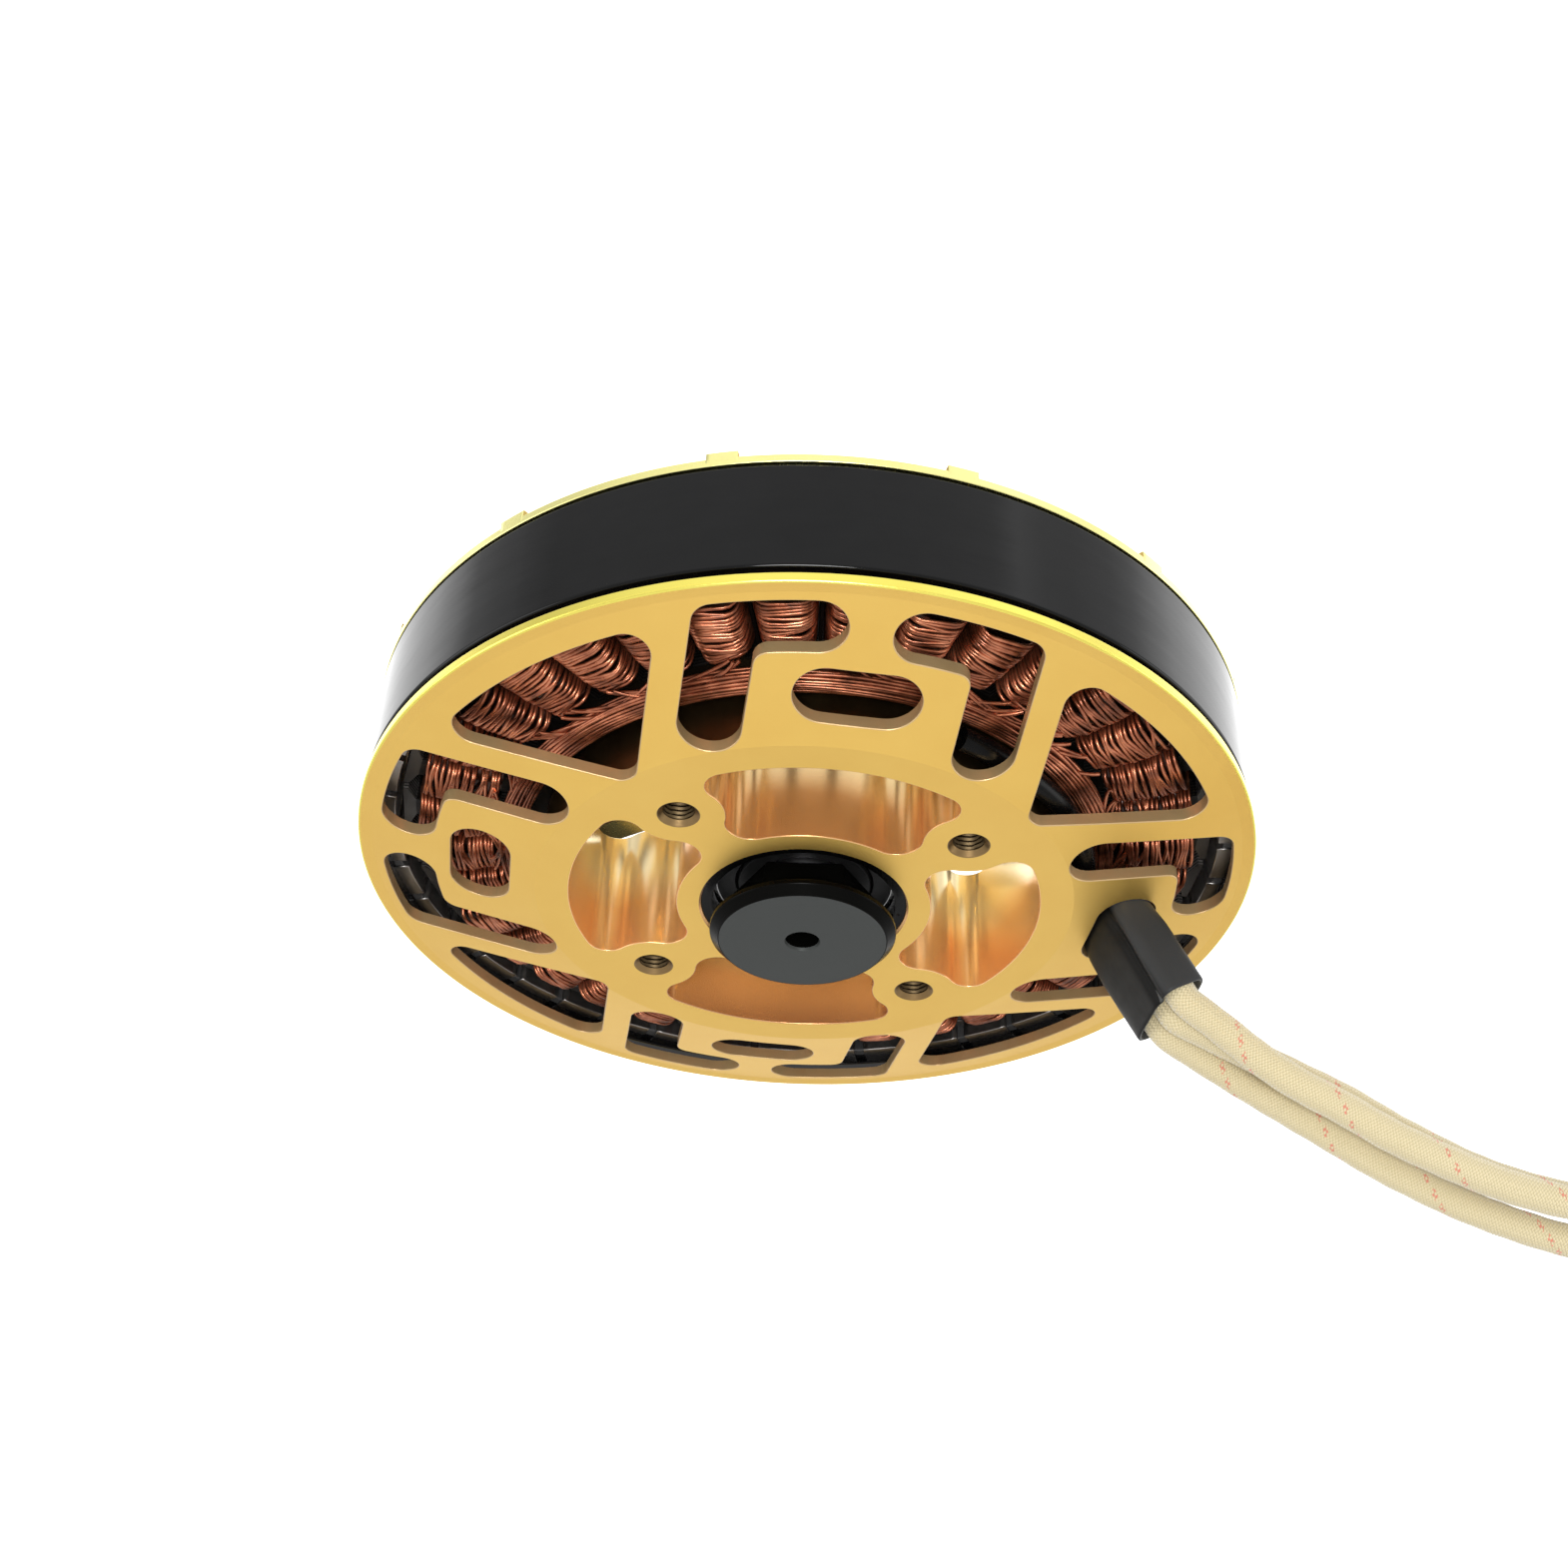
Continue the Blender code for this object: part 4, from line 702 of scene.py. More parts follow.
def rounded_profile(corners, closed, steps=4):
    """A line through (radius, z, rounding) corners, with an arc and its normals at each rounded corner.

    The material lies on the left of the line, and the normals point to its right.
    """
    corners = array(corners, dtype=float)
    count = len(corners)
    points, normals = [], []
    for index in range(count):
        here, radius = corners[index, :2], corners[index, 2]
        before, after = corners[index - 1, :2], corners[(index + 1) % count, :2]
        into, out = unit(here - before), unit(after - here)
        if not closed and index in (0, count - 1):
            along = out if index == 0 else into
            points.append(here)
            normals.append((along[1], -along[0]))
            continue
        turn = atan2(into[0] * out[1] - into[1] * out[0], into @ out)
        back = radius * tan(abs(turn) / 2)
        back = min(back, 0.49 * norm(here - before), 0.49 * norm(after - here))
        radius = back / max(tan(abs(turn) / 2), 1e-9)
        side = copysign(1, turn)
        centre = here - into * back + array([-into[1], into[0]]) * radius * side
        for t in np.linspace(0, turn, steps + 1):
            normal = array([into[1] * cos(t) + into[0] * sin(t), -into[0] * cos(t) + into[1] * sin(t)])
            points.append(centre + normal * radius * side)
            normals.append(normal)
    return array(points), array(normals)


def lathe(corners, segments=256, finish=0, closed=False):
    """A rounded profile turned about the axis: (r, z) goes to (r cos a, r sin a, z)."""
    points, normals = (cylinder(part[:, :1], full_turn(segments)[None], part[:, 1:])
                       for part in rounded_profile(corners, closed))
    return skin(points, normals, finish, closed)


def moved(stretch, centre):
    """A stretch of surface moved sideways by a centre."""
    return {**stretch, "points": stretch["points"] + array((*centre, 0))}


def spun(stretch, angle_deg):
    """A stretch of surface turned about the axis."""
    return {**stretch, **{key: np.column_stack([turned(stretch[key][:, :2], angle_deg), stretch[key][:, 2]])
                          for key in ("points", "normals")}}


def repeated(shapes, count, phase_deg=0.0):
    """Stretches of surface repeated round the axis."""
    return [spun(stretch, phase_deg + 360 / count * number) for number in range(count) for stretch in shapes]


def portion(stretch, keep, finish):
    """The chosen faces of a stretch of surface, with a finish of their own."""
    used, faces = np.unique(stretch["faces"][keep], return_inverse=True)
    return shape(stretch["points"][used], stretch["normals"][used], faces.reshape(-1, 4), finish)


def end_disc(ring, normal, finish=0):
    """A flat end on a ring of points: triangles from its middle, facing along a normal."""
    points = join([ring, ring.mean(0, keepdims=True)])
    index = np.arange(len(ring))
    faces = stack([index, (index + 1) % len(ring), np.full(len(ring), len(ring))], -1)
    facing = np.cross(ring[1] - ring[0], points[-1] - ring[0]) @ normal
    return shape(points, np.broadcast_to(normal, points.shape).copy(), faces if facing > 0 else faces[:, ::-1], finish)


def plate(outline, low, high, edge_round):
    """A flat plate with rounded edges between two heights."""
    low, high = level(low), level(high)
    return (sheet(outline, [], low, -1, edge_round, spacing=3.0)
            + [band(outline, False, low, high, edge_round, edge_round, FACE, 2)]
            + sheet(outline, [], high, 1, edge_round, spacing=3.0))


def hoops(tangent, normal, sides):
    """Unit circles square to a line: n cos a + b sin a, with the normal n and the binormal b."""
    angle = full_turn(sides)[None, :, None]
    return normal[:, None] * np.cos(angle) + np.cross(tangent, normal)[:, None] * np.sin(angle)


def tube(path, radius, sides, reference, closed=False):
    """A round tube: circles of a radius around each point of a path, square to it, with flat ends."""
    tangent = unit(np.roll(path, -1, 0) - np.roll(path, 1, 0) if closed else np.gradient(path, axis=0))
    normal = unit(reference - tangent * (reference * tangent).sum(1, keepdims=True))
    ring = hoops(tangent, normal, sides)
    points = path[:, None] + ring * radius
    ends = [] if closed else [end_disc(points[0], -tangent[0]), end_disc(points[-1], tangent[-1])]
    return [skin(points, ring, 0, closed)] + ends


def smooth_route(controls, spacing):
    """Evenly spaced points on a Catmull-Rom curve through the control points."""
    controls = array(controls, dtype=float)
    padded = join([2 * controls[:1] - controls[1:2], controls, 2 * controls[-1:] - controls[-2:-1]])
    t = np.linspace(0, 1, 24, endpoint=False)[None, :, None]
    before, start, end, after = (padded[k:k + len(controls) - 1, None] for k in range(4))
    fine = 0.5 * (2 * start + (end - before) * t + (2 * before - 5 * start + 4 * end - after) * t ** 2
                  + (3 * start - before - 3 * end + after) * t ** 3)
    fine = join([fine.reshape(-1, 3), controls[-1:]])
    length = travelled(fine)
    return sampled(fine, length, np.linspace(0, length[-1], max(3, round(length[-1] / spacing) + 1)))


def both_sides(half):
    """A closed outline from its half on +Y, given as stretches."""
    return joined(*half, *[mirrored(part) for part in reversed(half)])


def pocket_outline():
    """One kidney pocket on +X: arcs of the wall and the hub ring, waisted by two screw bosses.

    The cosine rule gives the angle at the axis between a boss and the centre of a fillet that touches it.
    """
    boss = polar(SCREW_CIRCLE_R, 45)

    def fillet(radius, size):
        cosine = (radius ** 2 + SCREW_CIRCLE_R ** 2 - (SCREW_BOSS_R + size) ** 2) / (2 * radius * SCREW_CIRCLE_R)
        angle = 45 - degrees(acos(cosine))
        centre = polar(radius, angle)
        return angle, centre, heading(centre, boss)

    outer_deg, outer, to_outer = fillet(WALL_INNER_R - POCKET_OUTER_FILLET, POCKET_OUTER_FILLET)
    inner_deg, inner, to_inner = fillet(HUB_R + POCKET_INNER_FILLET, POCKET_INNER_FILLET)
    to_inner %= 360
    return both_sides([arc(AXIS, WALL_INNER_R, 0, outer_deg, 0.5),
                       arc(outer, POCKET_OUTER_FILLET, outer_deg, to_outer + 180, 0.15),
                       arc(boss, SCREW_BOSS_R, to_outer % 360, to_inner),
                       arc(inner, POCKET_INNER_FILLET, to_inner - 180, inner_deg + 180, 0.2),
                       arc(AXIS, HUB_R, inner_deg, 0)])


def on_circle(radius, y):
    """The point on a circle about the axis that has a y, on the side of +X."""
    return sqrt(radius ** 2 - y ** 2), y


def leg_slot_outline():
    """One L slot beside +X: a leg along the radius, and a cross leg along the rim."""
    leg_half, cross_half = (LEG_OUTER - LEG_INNER) / 2, (CROSS_OUTER_R - CROSS_INNER_R) / 2
    elbow = on_circle(CROSS_INNER_R - ELBOW_FILLET, LEG_INNER - ELBOW_FILLET)
    end = on_circle(CROSS_INNER_R + cross_half, CROSS_START + cross_half)
    corner = on_circle(CROSS_OUTER_R - CORNER_FILLET, LEG_OUTER - CORNER_FILLET)
    return joined(arc((LEG_START + leg_half, LEG_INNER + leg_half), leg_half, 90, 270),
                  arc(elbow, ELBOW_FILLET, 90, heading(elbow), 0.2),
                  arc(AXIS, CROSS_INNER_R, heading(elbow), heading(end)),
                  arc(end, cross_half, heading(end) + 180, heading(end) + 360),
                  arc(AXIS, CROSS_OUTER_R, heading(end), heading(corner)),
                  arc(corner, CORNER_FILLET, heading(corner), 90, 0.2))


def cable_slot_outline():
    """The stadium slot on +X, long across the radius."""
    half = CABLE_SLOT_WIDTH / 2
    middle, straight = CABLE_SLOT_START + half, CABLE_SLOT_HALF_LENGTH - half
    return joined(arc((middle, straight), half, 0, 180), arc((middle, -straight), half, 180, 360))


def window_outline():
    """The window of one quadrant: two straight sides and the rim's arc, all corners round."""
    inner = WINDOW_START + WINDOW_INNER_FILLET
    far, side = on_circle(WINDOW_OUTER_R - WINDOW_OUTER_FILLET, WINDOW_START + WINDOW_OUTER_FILLET)
    low_deg = heading((far, side))
    return joined(arc((inner, inner), WINDOW_INNER_FILLET, 180, 270, 0.2),
                  arc((far, side), WINDOW_OUTER_FILLET, 270, 360 + low_deg, 0.2),
                  arc(AXIS, WINDOW_OUTER_R, low_deg, 90 - low_deg, 0.5),
                  arc((side, far), WINDOW_OUTER_FILLET, 90 - low_deg, 180, 0.2))


def beside_bar(radius, fillet, width):
    """The centre of a fillet at a radius that touches a bar half a spoke's pitch round from +X."""
    along, offset = on_circle(radius, width / 2 + fillet)
    tilt = radians(HALF_SPOKE_DEG)
    return along * cos(tilt) + offset * sin(tilt), along * sin(tilt) - offset * cos(tilt)


def cap_window_outline(inner_fillet=1.2, outer_fillet=2.5):
    """The opening between two spokes, with its middle on +X and its sides along the spokes."""
    outer = beside_bar(CAP_WINDOW_OUTER - outer_fillet, outer_fillet, SPOKE_WIDTH)
    inner = beside_bar(CAP_WINDOW_INNER + inner_fillet, inner_fillet, SPOKE_WIDTH)
    return both_sides([arc(AXIS, CAP_WINDOW_OUTER, 0, heading(outer), 0.5),
                       arc(outer, outer_fillet, heading(outer), 90 + HALF_SPOKE_DEG, 0.2),
                       arc(inner, inner_fillet, 90 + HALF_SPOKE_DEG, 180 + heading(inner), 0.2),
                       arc(AXIS, CAP_WINDOW_INNER, heading(inner), 0)])


def cap_star_outline():
    """The raised hub of the cap with a rib along each spoke, out to the cap's edge."""
    inner = beside_bar(CAP_WINDOW_INNER + RIB_FILLET, RIB_FILLET, RIB_WIDTH)
    rib_deg = HALF_SPOKE_DEG - degrees(asin(RIB_WIDTH / 2 / CAP_RIM_R))
    half = join([arc(AXIS, CAP_RIM_R, HALF_SPOKE_DEG, rib_deg, 0.4),
                 arc(inner, RIB_FILLET, 90 + HALF_SPOKE_DEG, 180 + heading(inner), 0.2),
                 arc(AXIS, CAP_WINDOW_INNER, heading(inner), 0)])
    sector = join([half, mirrored(half)])
    return joined(*[turned(sector, angle) for angle in reversed(SPOKE_GAPS)])


def thread(start, end, radius, lead_in, centre, finish=WALL, segments=28):
    """A tapped hole's wall: radius minus a ridge that climbs one pitch in a turn, z running from start to end."""
    angle = full_turn(segments)[None]
    z = np.linspace(start, end, max(2, round(abs(end - start) / THREAD_PITCH * 6)))[:, None]
    phase = (z / THREAD_PITCH + angle / tau) % 1
    fade = np.clip(np.abs(z - start) / lead_in, 0, 1)
    distance = radius + THREAD_DEPTH / 2 - THREAD_DEPTH * np.abs(phase * 2 - 1) * fade
    slope = np.where(phase < 0.5, 1.0, -1.0) * 2 * THREAD_DEPTH / THREAD_PITCH * fade
    wall = skin(cylinder(distance, angle, z), cylinder(-1.0, angle, slope), finish)
    if end > start:
        wall["faces"] = wall["faces"][:, ::-1]
    return moved(wall, centre)


def base_plate():
    """The turned plate with its slots and pockets, the carrier wall and the bearing housing in one."""
    slots, pockets, centres = [], [], []
    for angle in QUARTERS:
        slots += [turned(outline, angle) for outline in (leg_slot_outline(), mirrored(leg_slot_outline()),
                                                         cable_slot_outline(), window_outline())]
        pockets.append(turned(pocket_outline(), angle))
        centres.append(polar(SCREW_CIRCLE_R, 45 + angle))
    mouths = [circle(SCREW_MOUTH_R, 0.2, centre) for centre in centres]
    tops = [circle(SCREW_HOLE_R, 0.3, centre) for centre in centres]
    rim, over = circle(RIM_R, 0.35), level(WALL_TOP)
    shapes = sheet(rim, slots + pockets + mouths + [circle(BORE_R + 0.1, 0.4)], FRONT, -1, 0.22, EDGE_ROUND)
    # The back and the slot walls take the duller wall gold: painted shade.
    shapes += sheet(rim, slots + [circle(LEDGE_R, 0.6)], BACK, 1, 0.15, 0, finish=WALL)
    # The rim's side takes the bright edge gold: painted highlight.
    shapes.append(band(rim, False, FRONT, BACK, 0.22, 0.15, HIGHLIGHT))
    shapes += [band(slot, True, FRONT, BACK, EDGE_ROUND, 0) for slot in slots]
    # Two pockets take a lit copy of the pocket gold and one a shaded copy: painted light and painted shade.
    shapes += [band(pocket, True, FRONT, over, EDGE_ROUND, 0.1, finish)
               for pocket, finish in zip(pockets, (LIT_POCKET, SHADED_POCKET, LIT_POCKET, POCKET))]
    shapes += sheet(circle(WALL_OUTER_R, 0.5), pockets + tops + [circle(HUB_R, 0.5)], over, 1, 0, 0.1, finish=SHADE)
    cone_top = SCREW_CONE_DEPTH + EDGE_ROUND
    for centre, mouth in zip(centres, mouths):
        ring = wound(mouth, True)
        rows = [lifted(ring + into_material(ring) * EDGE_ROUND, 0), lifted(ring, 0.05),
                lifted((ring - centre) / SCREW_MOUTH_R * SCREW_HOLE_R + centre, cone_top)]
        slant = lifted(unit(centre - ring), -1.0)
        # The mouth's cone takes the shaded gold and the tapped hole a near-black gold: painted shade.
        shapes += [skin(stack(rows), stack([np.broadcast_to(DOWN, slant.shape), slant, slant]), SHADE),
                   thread(cone_top, 7.0, SCREW_HOLE_R, 0.3, centre, THREAD_SHADE),
                   moved(lathe([(SCREW_HOLE_R, WALL_TOP, 0), (SCREW_HOLE_R, 6.9, 0)], 28, THREAD_SHADE), centre)]
    shapes += [lathe([(LEDGE_R, PLATE_THICKNESS, 0), (LEDGE_R, LEDGE_TOP, 0.1), (WALL_OUTER_R, LEDGE_TOP, 0.1),
                      (WALL_OUTER_R, WALL_TOP, 0)], finish=SHADE),
               lathe([(HUB_R, WALL_TOP, 0), (HUB_R, HOUSING_TOP, 0.3), (SEAT_R, HOUSING_TOP, 0.2),
                      (SEAT_R, SHOULDER_TOP, 0.1), (SHOULDER_R, SHOULDER_TOP, 0.2), (SHOULDER_R, SHOULDER_BOTTOM, 0.2),
                      (SEAT_R, SHOULDER_BOTTOM, 0.1), (SEAT_R, MOUTH_DEPTH, 0.1), (BORE_R, MOUTH_DEPTH, 0.1),
                      (BORE_R, 0.24, 0.1), (BORE_R + 0.1 + EDGE_ROUND, 0, 0)], finish=POCKET)]
    make_piece("gold_base", shapes, BASE_GOLD, "stator", ["base_mount"])


def cap():
    """The spoked cap: a thin rim with 13 windows, and a raised hub with a rib along each spoke."""
    windows = [turned(cap_window_outline(), angle) for angle in SPOKE_GAPS]
    rim, star, eye = circle(CAP_RIM_R, 0.4), cap_star_outline(), circle(EYE_R, 0.4)
    under, over, pocket, face = (level(z) for z in (CAP_BOTTOM, CAP_RIM_TOP, POCKET_TOP, PROP_FACE_Z))
    # The underside and the rim's side take the bright edge gold: painted light on faces that lie in shadow.
    shapes = sheet(rim, windows + [circle(HUB_POCKET_R, 0.5)], under, -1, 0.1, 0.1, finish=HIGHLIGHT)
    shapes += sheet(rim, windows + [circle(15.0, 0.8)], over, 1, 0.15, 0.1)
    shapes.append(band(rim, False, under, over, 0.1, 0.15, HIGHLIGHT))
    shapes += [band(window, True, under, over, 0.1, 0.1) for window in windows]
    rib_fall = (RIB_ROOT_Z - RIB_END_Z) / (CAP_RIM_R - CAP_WINDOW_INNER)
    crown = ((0, CAP_HUB_R - CAP_HUB_CHAMFER, CAP_HUB_R, CAP_WINDOW_INNER, CAP_RIM_R + 1),
             (PROP_FACE_Z, PROP_FACE_Z, PROP_FACE_Z - CAP_HUB_CHAMFER, RIB_ROOT_Z, RIB_END_Z - rib_fall))
    centres = [polar(PROP_HOLE_CIRCLE, angle) for angle in QUARTERS]
    holes = [circle(PROP_HOLE_R + 0.1, 0.25, centre) for centre in centres]
    heads = [circle(2.3, 0.3, polar(CAP_SCREW_CIRCLE, 45 + angle)) for angle in QUARTERS]
    shapes += sheet(star, holes + heads + [eye], crown, 1, 0.2, 0.1, spacing=1.2)
    ribs = band(star, False, level(CAP_BOTTOM + 0.4), crown, 0, 0.2)
    # The ribs' outer ends take the bright edge gold: painted highlight.
    ends = norm(ribs["points"][ribs["faces"]].mean(1)[:, :2], axis=1) > CAP_RIM_R - 0.25
    shapes += [portion(ribs, ~ends, WALL), portion(ribs, ends, HIGHLIGHT)]
    shapes += [band(loop, True, pocket, face, 0, 0.1) for loop in [eye] + heads]
    for centre, hole in zip(centres, holes):
        bottom = PROP_FACE_Z - PROP_HOLE_DEPTH
        shapes += [band(hole, True, level(PROP_FACE_Z - 0.3), face, 0, 0.1),
                   thread(PROP_FACE_Z - 0.3, bottom, PROP_HOLE_R, 0.4, centre),
                   end_disc(lifted(hole, bottom), UP, WALL)]
    shapes += [lathe([(EYE_R, POCKET_TOP, 0), (FLANGE_POCKET_R, POCKET_TOP, 0.2),
                      (FLANGE_POCKET_R, POCKET_STEP_Z, 0.2), (HUB_POCKET_R, POCKET_STEP_Z, 0.2),
                      (HUB_POCKET_R, CAP_BOTTOM, 0)], finish=WALL),
               lathe([(LIP_INNER, CAP_BOTTOM + 0.2, 0), (LIP_INNER, LIP_BOTTOM, 0.15), (LIP_OUTER, LIP_BOTTOM, 0.15),
                      (LIP_OUTER, CAP_BOTTOM + 0.2, 0)], finish=WALL)]
    make_piece("gold_cap", shapes, CAP_GOLD, "rotor", ["top_cap"])


def magnet_ring():
    """The ring: a turned band of steel, bright black outside, with flat magnets glued in."""
    def rotor_piece(name, shapes, material, *replaces):
        make_piece(name, shapes, [material], "rotor", replaces)

    shell = [(RING_INNER_R, RING_BOTTOM, 0.2), (RING_OUTER_R, RING_BOTTOM, 0.3), (RING_OUTER_R, RING_TOP, 0.25),
             (RING_INNER_R, RING_TOP, 0.2)]
    rotor_piece("ring_shell", [lathe(shell, 420, closed=True)], ring_gloss(), "flux_ring")
    half = 360 / MAGNET_COUNT * MAGNET_FILL / 2
    outline = dense(join([arc(AXIS, RING_INNER_R + 0.1, -half, half, 0.8),
                          arc(AXIS, MAGNET_FACE_R, half, -half, 0.8)]), 1.0)
    rotor_piece("magnets", repeated(plate(outline, MAGNET_BOTTOM, MAGNET_TOP, 0.15), MAGNET_COUNT), MAGNET)
    gap = [(RING_INNER_R - 0.9, MAGNET_BOTTOM + 0.3, 0.2), (RING_INNER_R + 0.1, MAGNET_BOTTOM + 0.1, 0.2),
           (RING_INNER_R + 0.1, MAGNET_TOP - 0.2, 0.2), (RING_INNER_R - 0.9, MAGNET_TOP - 0.3, 0.2)]
    rotor_piece("magnet_glue", [lathe(gap, 84, closed=True)], GLUE)


def boxed(wave, power):
    """A sine or cosine w as a superellipse has it: sign(w) * |w| ** (2 / power)."""
    return np.sign(wave) * np.abs(wave) ** (2 / power)


def winding(number):
    """One coil: a wire wound round its tooth, and the layers of the winding beneath it, painted near black as shade.

    The wire's middle goes round a box with round corners as it climbs along the radius, one pitch in a turn.
    Each turn leans and bows a little by its own amount, and a few cross their neighbours.
    """
    chance = np.random.default_rng(100 + number)
    steps, count = 28, TURNS + 2
    turn = np.arange(TURNS * steps + 1) / steps
    radius = COIL_START_R + WIRE_R + turn * ((COIL_END_R - COIL_START_R - 2 * WIRE_R) / TURNS)
    lean, bow = chance.normal(0, 0.24, count), chance.normal(0, 0.16, count)
    cross = np.where(chance.random(count) < 0.24, chance.choice([-1, 1], count) * 0.65, 0)
    rise = chance.normal(0, 0.11, count)
    lean, bow, cross, rise = (np.interp(turn, np.arange(count), part) for part in (lean, bow, cross, rise))
    half_side = np.tan(pi / TOOTH_COUNT) * radius - COIL_SIDE_GAP / 2 - WIRE_R
    barrel = 0.55 - 0.55 * np.clip((radius - COIL_START_R) / 3.0, 0, 1) ** 0.7
    barrel = barrel + 0.35 * np.clip((radius - COIL_END_R + 1.6) / 1.6, 0, 1) ** 2
    half_height = (COIL_TOP - COIL_BOTTOM) / 2 - barrel - WIRE_R - 0.12 + rise * 0.6
    cosine, sine = np.cos(tau * turn), np.sin(tau * turn)
    y, z = half_side * boxed(cosine, COIL_POWER), half_height * boxed(sine, COIL_POWER)
    across, flat_part = y / half_side, np.abs(sine) ** 2
    shift = flat_part * (lean * across * 1.2 + bow * (1 - across ** 2) + cross * across)
    radius = np.clip(radius + shift, COIL_START_R + WIRE_R, COIL_END_R - WIRE_R)
    z = z - np.sign(z) * (0.05 + 0.05 * np.sin(turn * 7.1 + number)) * flat_part
    middle = (COIL_TOP + COIL_BOTTOM) / 2
    wire = tube(stack([radius, y, middle + z], -1), WIRE_R, 6, array((1.0, 0.0, 0.0)))
    low = np.linspace(COIL_START_R + 0.25, COIL_END_R - 0.25, 6)[:, None]
    inner_half = np.tan(pi / TOOTH_COUNT) * low - COIL_SIDE_GAP / 2 - 1.7 * WIRE_R
    inner_high = (COIL_TOP - COIL_BOTTOM) / 2 - 1.0
    cosine, sine = np.cos(full_turn(24)), np.sin(full_turn(24))
    y, z = inner_half * boxed(cosine, COIL_POWER), middle + inner_high * boxed(sine, COIL_POWER)
    points = stack(np.broadcast_arrays(low, y, z), -1)
    normals = np.broadcast_to(stack([0 * cosine, cosine, sine], -1), points.shape)
    # The core under the wire takes the near-black copper: painted shade.
    body = [skin(points, normals, 1), end_disc(points[0], array((-1.0, 0.0, 0.0)), 1),
            end_disc(points[-1], array((1.0, 0.0, 0.0)), 1)]
    turn_deg = TOOTH_PHASE_DEG + 360 / TOOTH_COUNT * (number - 1)
    make_piece(f"winding_{number:02d}", [spun(part, turn_deg) for part in wire + body], COPPER, "stator",
               [f"coil_{number:02d}"])


def link_wires():
    """The wires from coil to coil: a bundle of fine tubes round the axis, each wandering in radius and height."""
    shapes = []
    chance = np.random.default_rng(7)
    angle = full_turn(150)

    def wander(size, orders):
        return sum(chance.normal(0, size) * np.sin(order * angle + chance.random() * 7) for order in orders)

    for row in range(7):
        for layer in range(3):
            waves, lift = wander(0.05, (3, 5, 11, 18)), wander(0.04, (4, 9, 18))
            radius = LINK_INNER_R + 0.35 + row * 0.36 + waves
            bowl = 0.25 * ((radius - (LINK_INNER_R + LINK_OUTER_R) / 2) / 1.3) ** 2
            z = np.clip(LINK_BOTTOM + 0.32 + layer * 0.42 + lift + bowl, LINK_BOTTOM + 0.22, LINK_TOP - 0.22)
            radius = np.clip(radius, LINK_INNER_R + 0.22, LINK_OUTER_R - 0.22)
            shapes += tube(cylinder(radius, angle, z), LINK_WIRE_R, 5, UP, closed=True)
    share = np.linspace(0, 1, 14)
    for tooth in range(TOOTH_COUNT):
        for strand in range(3):
            way = 1 if (tooth // 3) % 2 else -1
            start = radians(TOOTH_PHASE_DEG + 10 * tooth + chance.normal(0, 1.5))
            along = start + way * radians(9 + 3 * strand + chance.normal(0, 1.5)) * share
            radius = TAIL_START_R - (TAIL_START_R - TAIL_END_R - 0.3 * strand) * share ** 0.7
            z = 5.5 + 0.12 * strand - 0.5 * share - 0.2 * np.sin(pi * share) + 0.1 * share
            shapes += tube(cylinder(radius, along, z), LINK_WIRE_R, 5, UP)
    make_piece("link_wires", shapes, COPPER[:1], "stator", ["phase_links"])


def coil_gap_shade_sheets():
    """Near-black sheets on the middle lines between the coils, painted shade for the gaps: thin plates along the
    radius.
    """
    start, end, half = COIL_START_R - 0.1, COIL_END_R + 0.2, 0.16
    outline = dense(array([(start, -half), (end, -half), (end, half), (start, half)]), 2.0)
    low, side, high = plate(outline, COIL_BOTTOM + 2.6, COIL_TOP - 2.6, 0.05)
    row = repeated([low, high, side], TOOTH_COUNT, TOOTH_PHASE_DEG + 180 / TOOTH_COUNT)
    make_piece("coil_gap_shade_sheets", row, [GAP_SHADE], "stator")


def end_cap():
    """The drilled disc on the shaft's lower end, its neck and the hexagon behind it."""
    inner, rise = DISC_FACE_R - 0.08, DISC_R - DISC_FACE_R
    # Finish 1, the near-black copy of the anodising, is painted shade on the flank, neck, hole and hexagon.
    shapes = [lathe([(DISC_HOLE_R, DISC_FACE_Z + 0.3, 0), (DISC_HOLE_R + 0.12, DISC_FACE_Z, 0.1),
                     (inner, DISC_FACE_Z, 0)], 200),
              lathe([(inner, DISC_FACE_Z, 0), (DISC_FACE_R, DISC_FACE_Z, 0.08), (DISC_R, DISC_FACE_Z + rise, 0.2),
                     (DISC_R, DISC_TOP_Z, 0.15), (NECK_R, DISC_TOP_Z, 0.15), (NECK_R, HEX_BOTTOM + 0.3, 0)], 200, 1),
              lathe([(DISC_HOLE_R, -1.2, 0), (DISC_HOLE_R, DISC_FACE_Z + 0.3, 0)], 200, 1)]
    corner = (HEX_ACROSS_FLATS / 2 - HEX_ROUND) / cos(radians(30))
    sides = [HEX_TURN_DEG + 60 * side for side in range(6)]
    outline = joined(*[arc(polar(corner, side + 30), HEX_ROUND, side, side + 60, 0.1) for side in sides])
    low, high = level(HEX_BOTTOM), level(HEX_TOP)
    shapes += sheet(outline, [circle(NECK_R, 0.6)], low, -1, 0.35, spacing=1.2, finish=1)
    shapes.append(band(outline, False, low, high, 0.35, 0.35, 1))
    shapes += sheet(outline, [circle(5.0, 0.6)], high, 1, 0.35, spacing=1.2, finish=1)
    shapes.append(lathe([(5.0, HEX_TOP, 0), (5.0, -1.2, 0.1), (DISC_HOLE_R, -1.2, 0)], 64, 1))
    make_piece("shaft_end_cap", shapes, BLACK_CAP, "rotor", ["end_cap"])


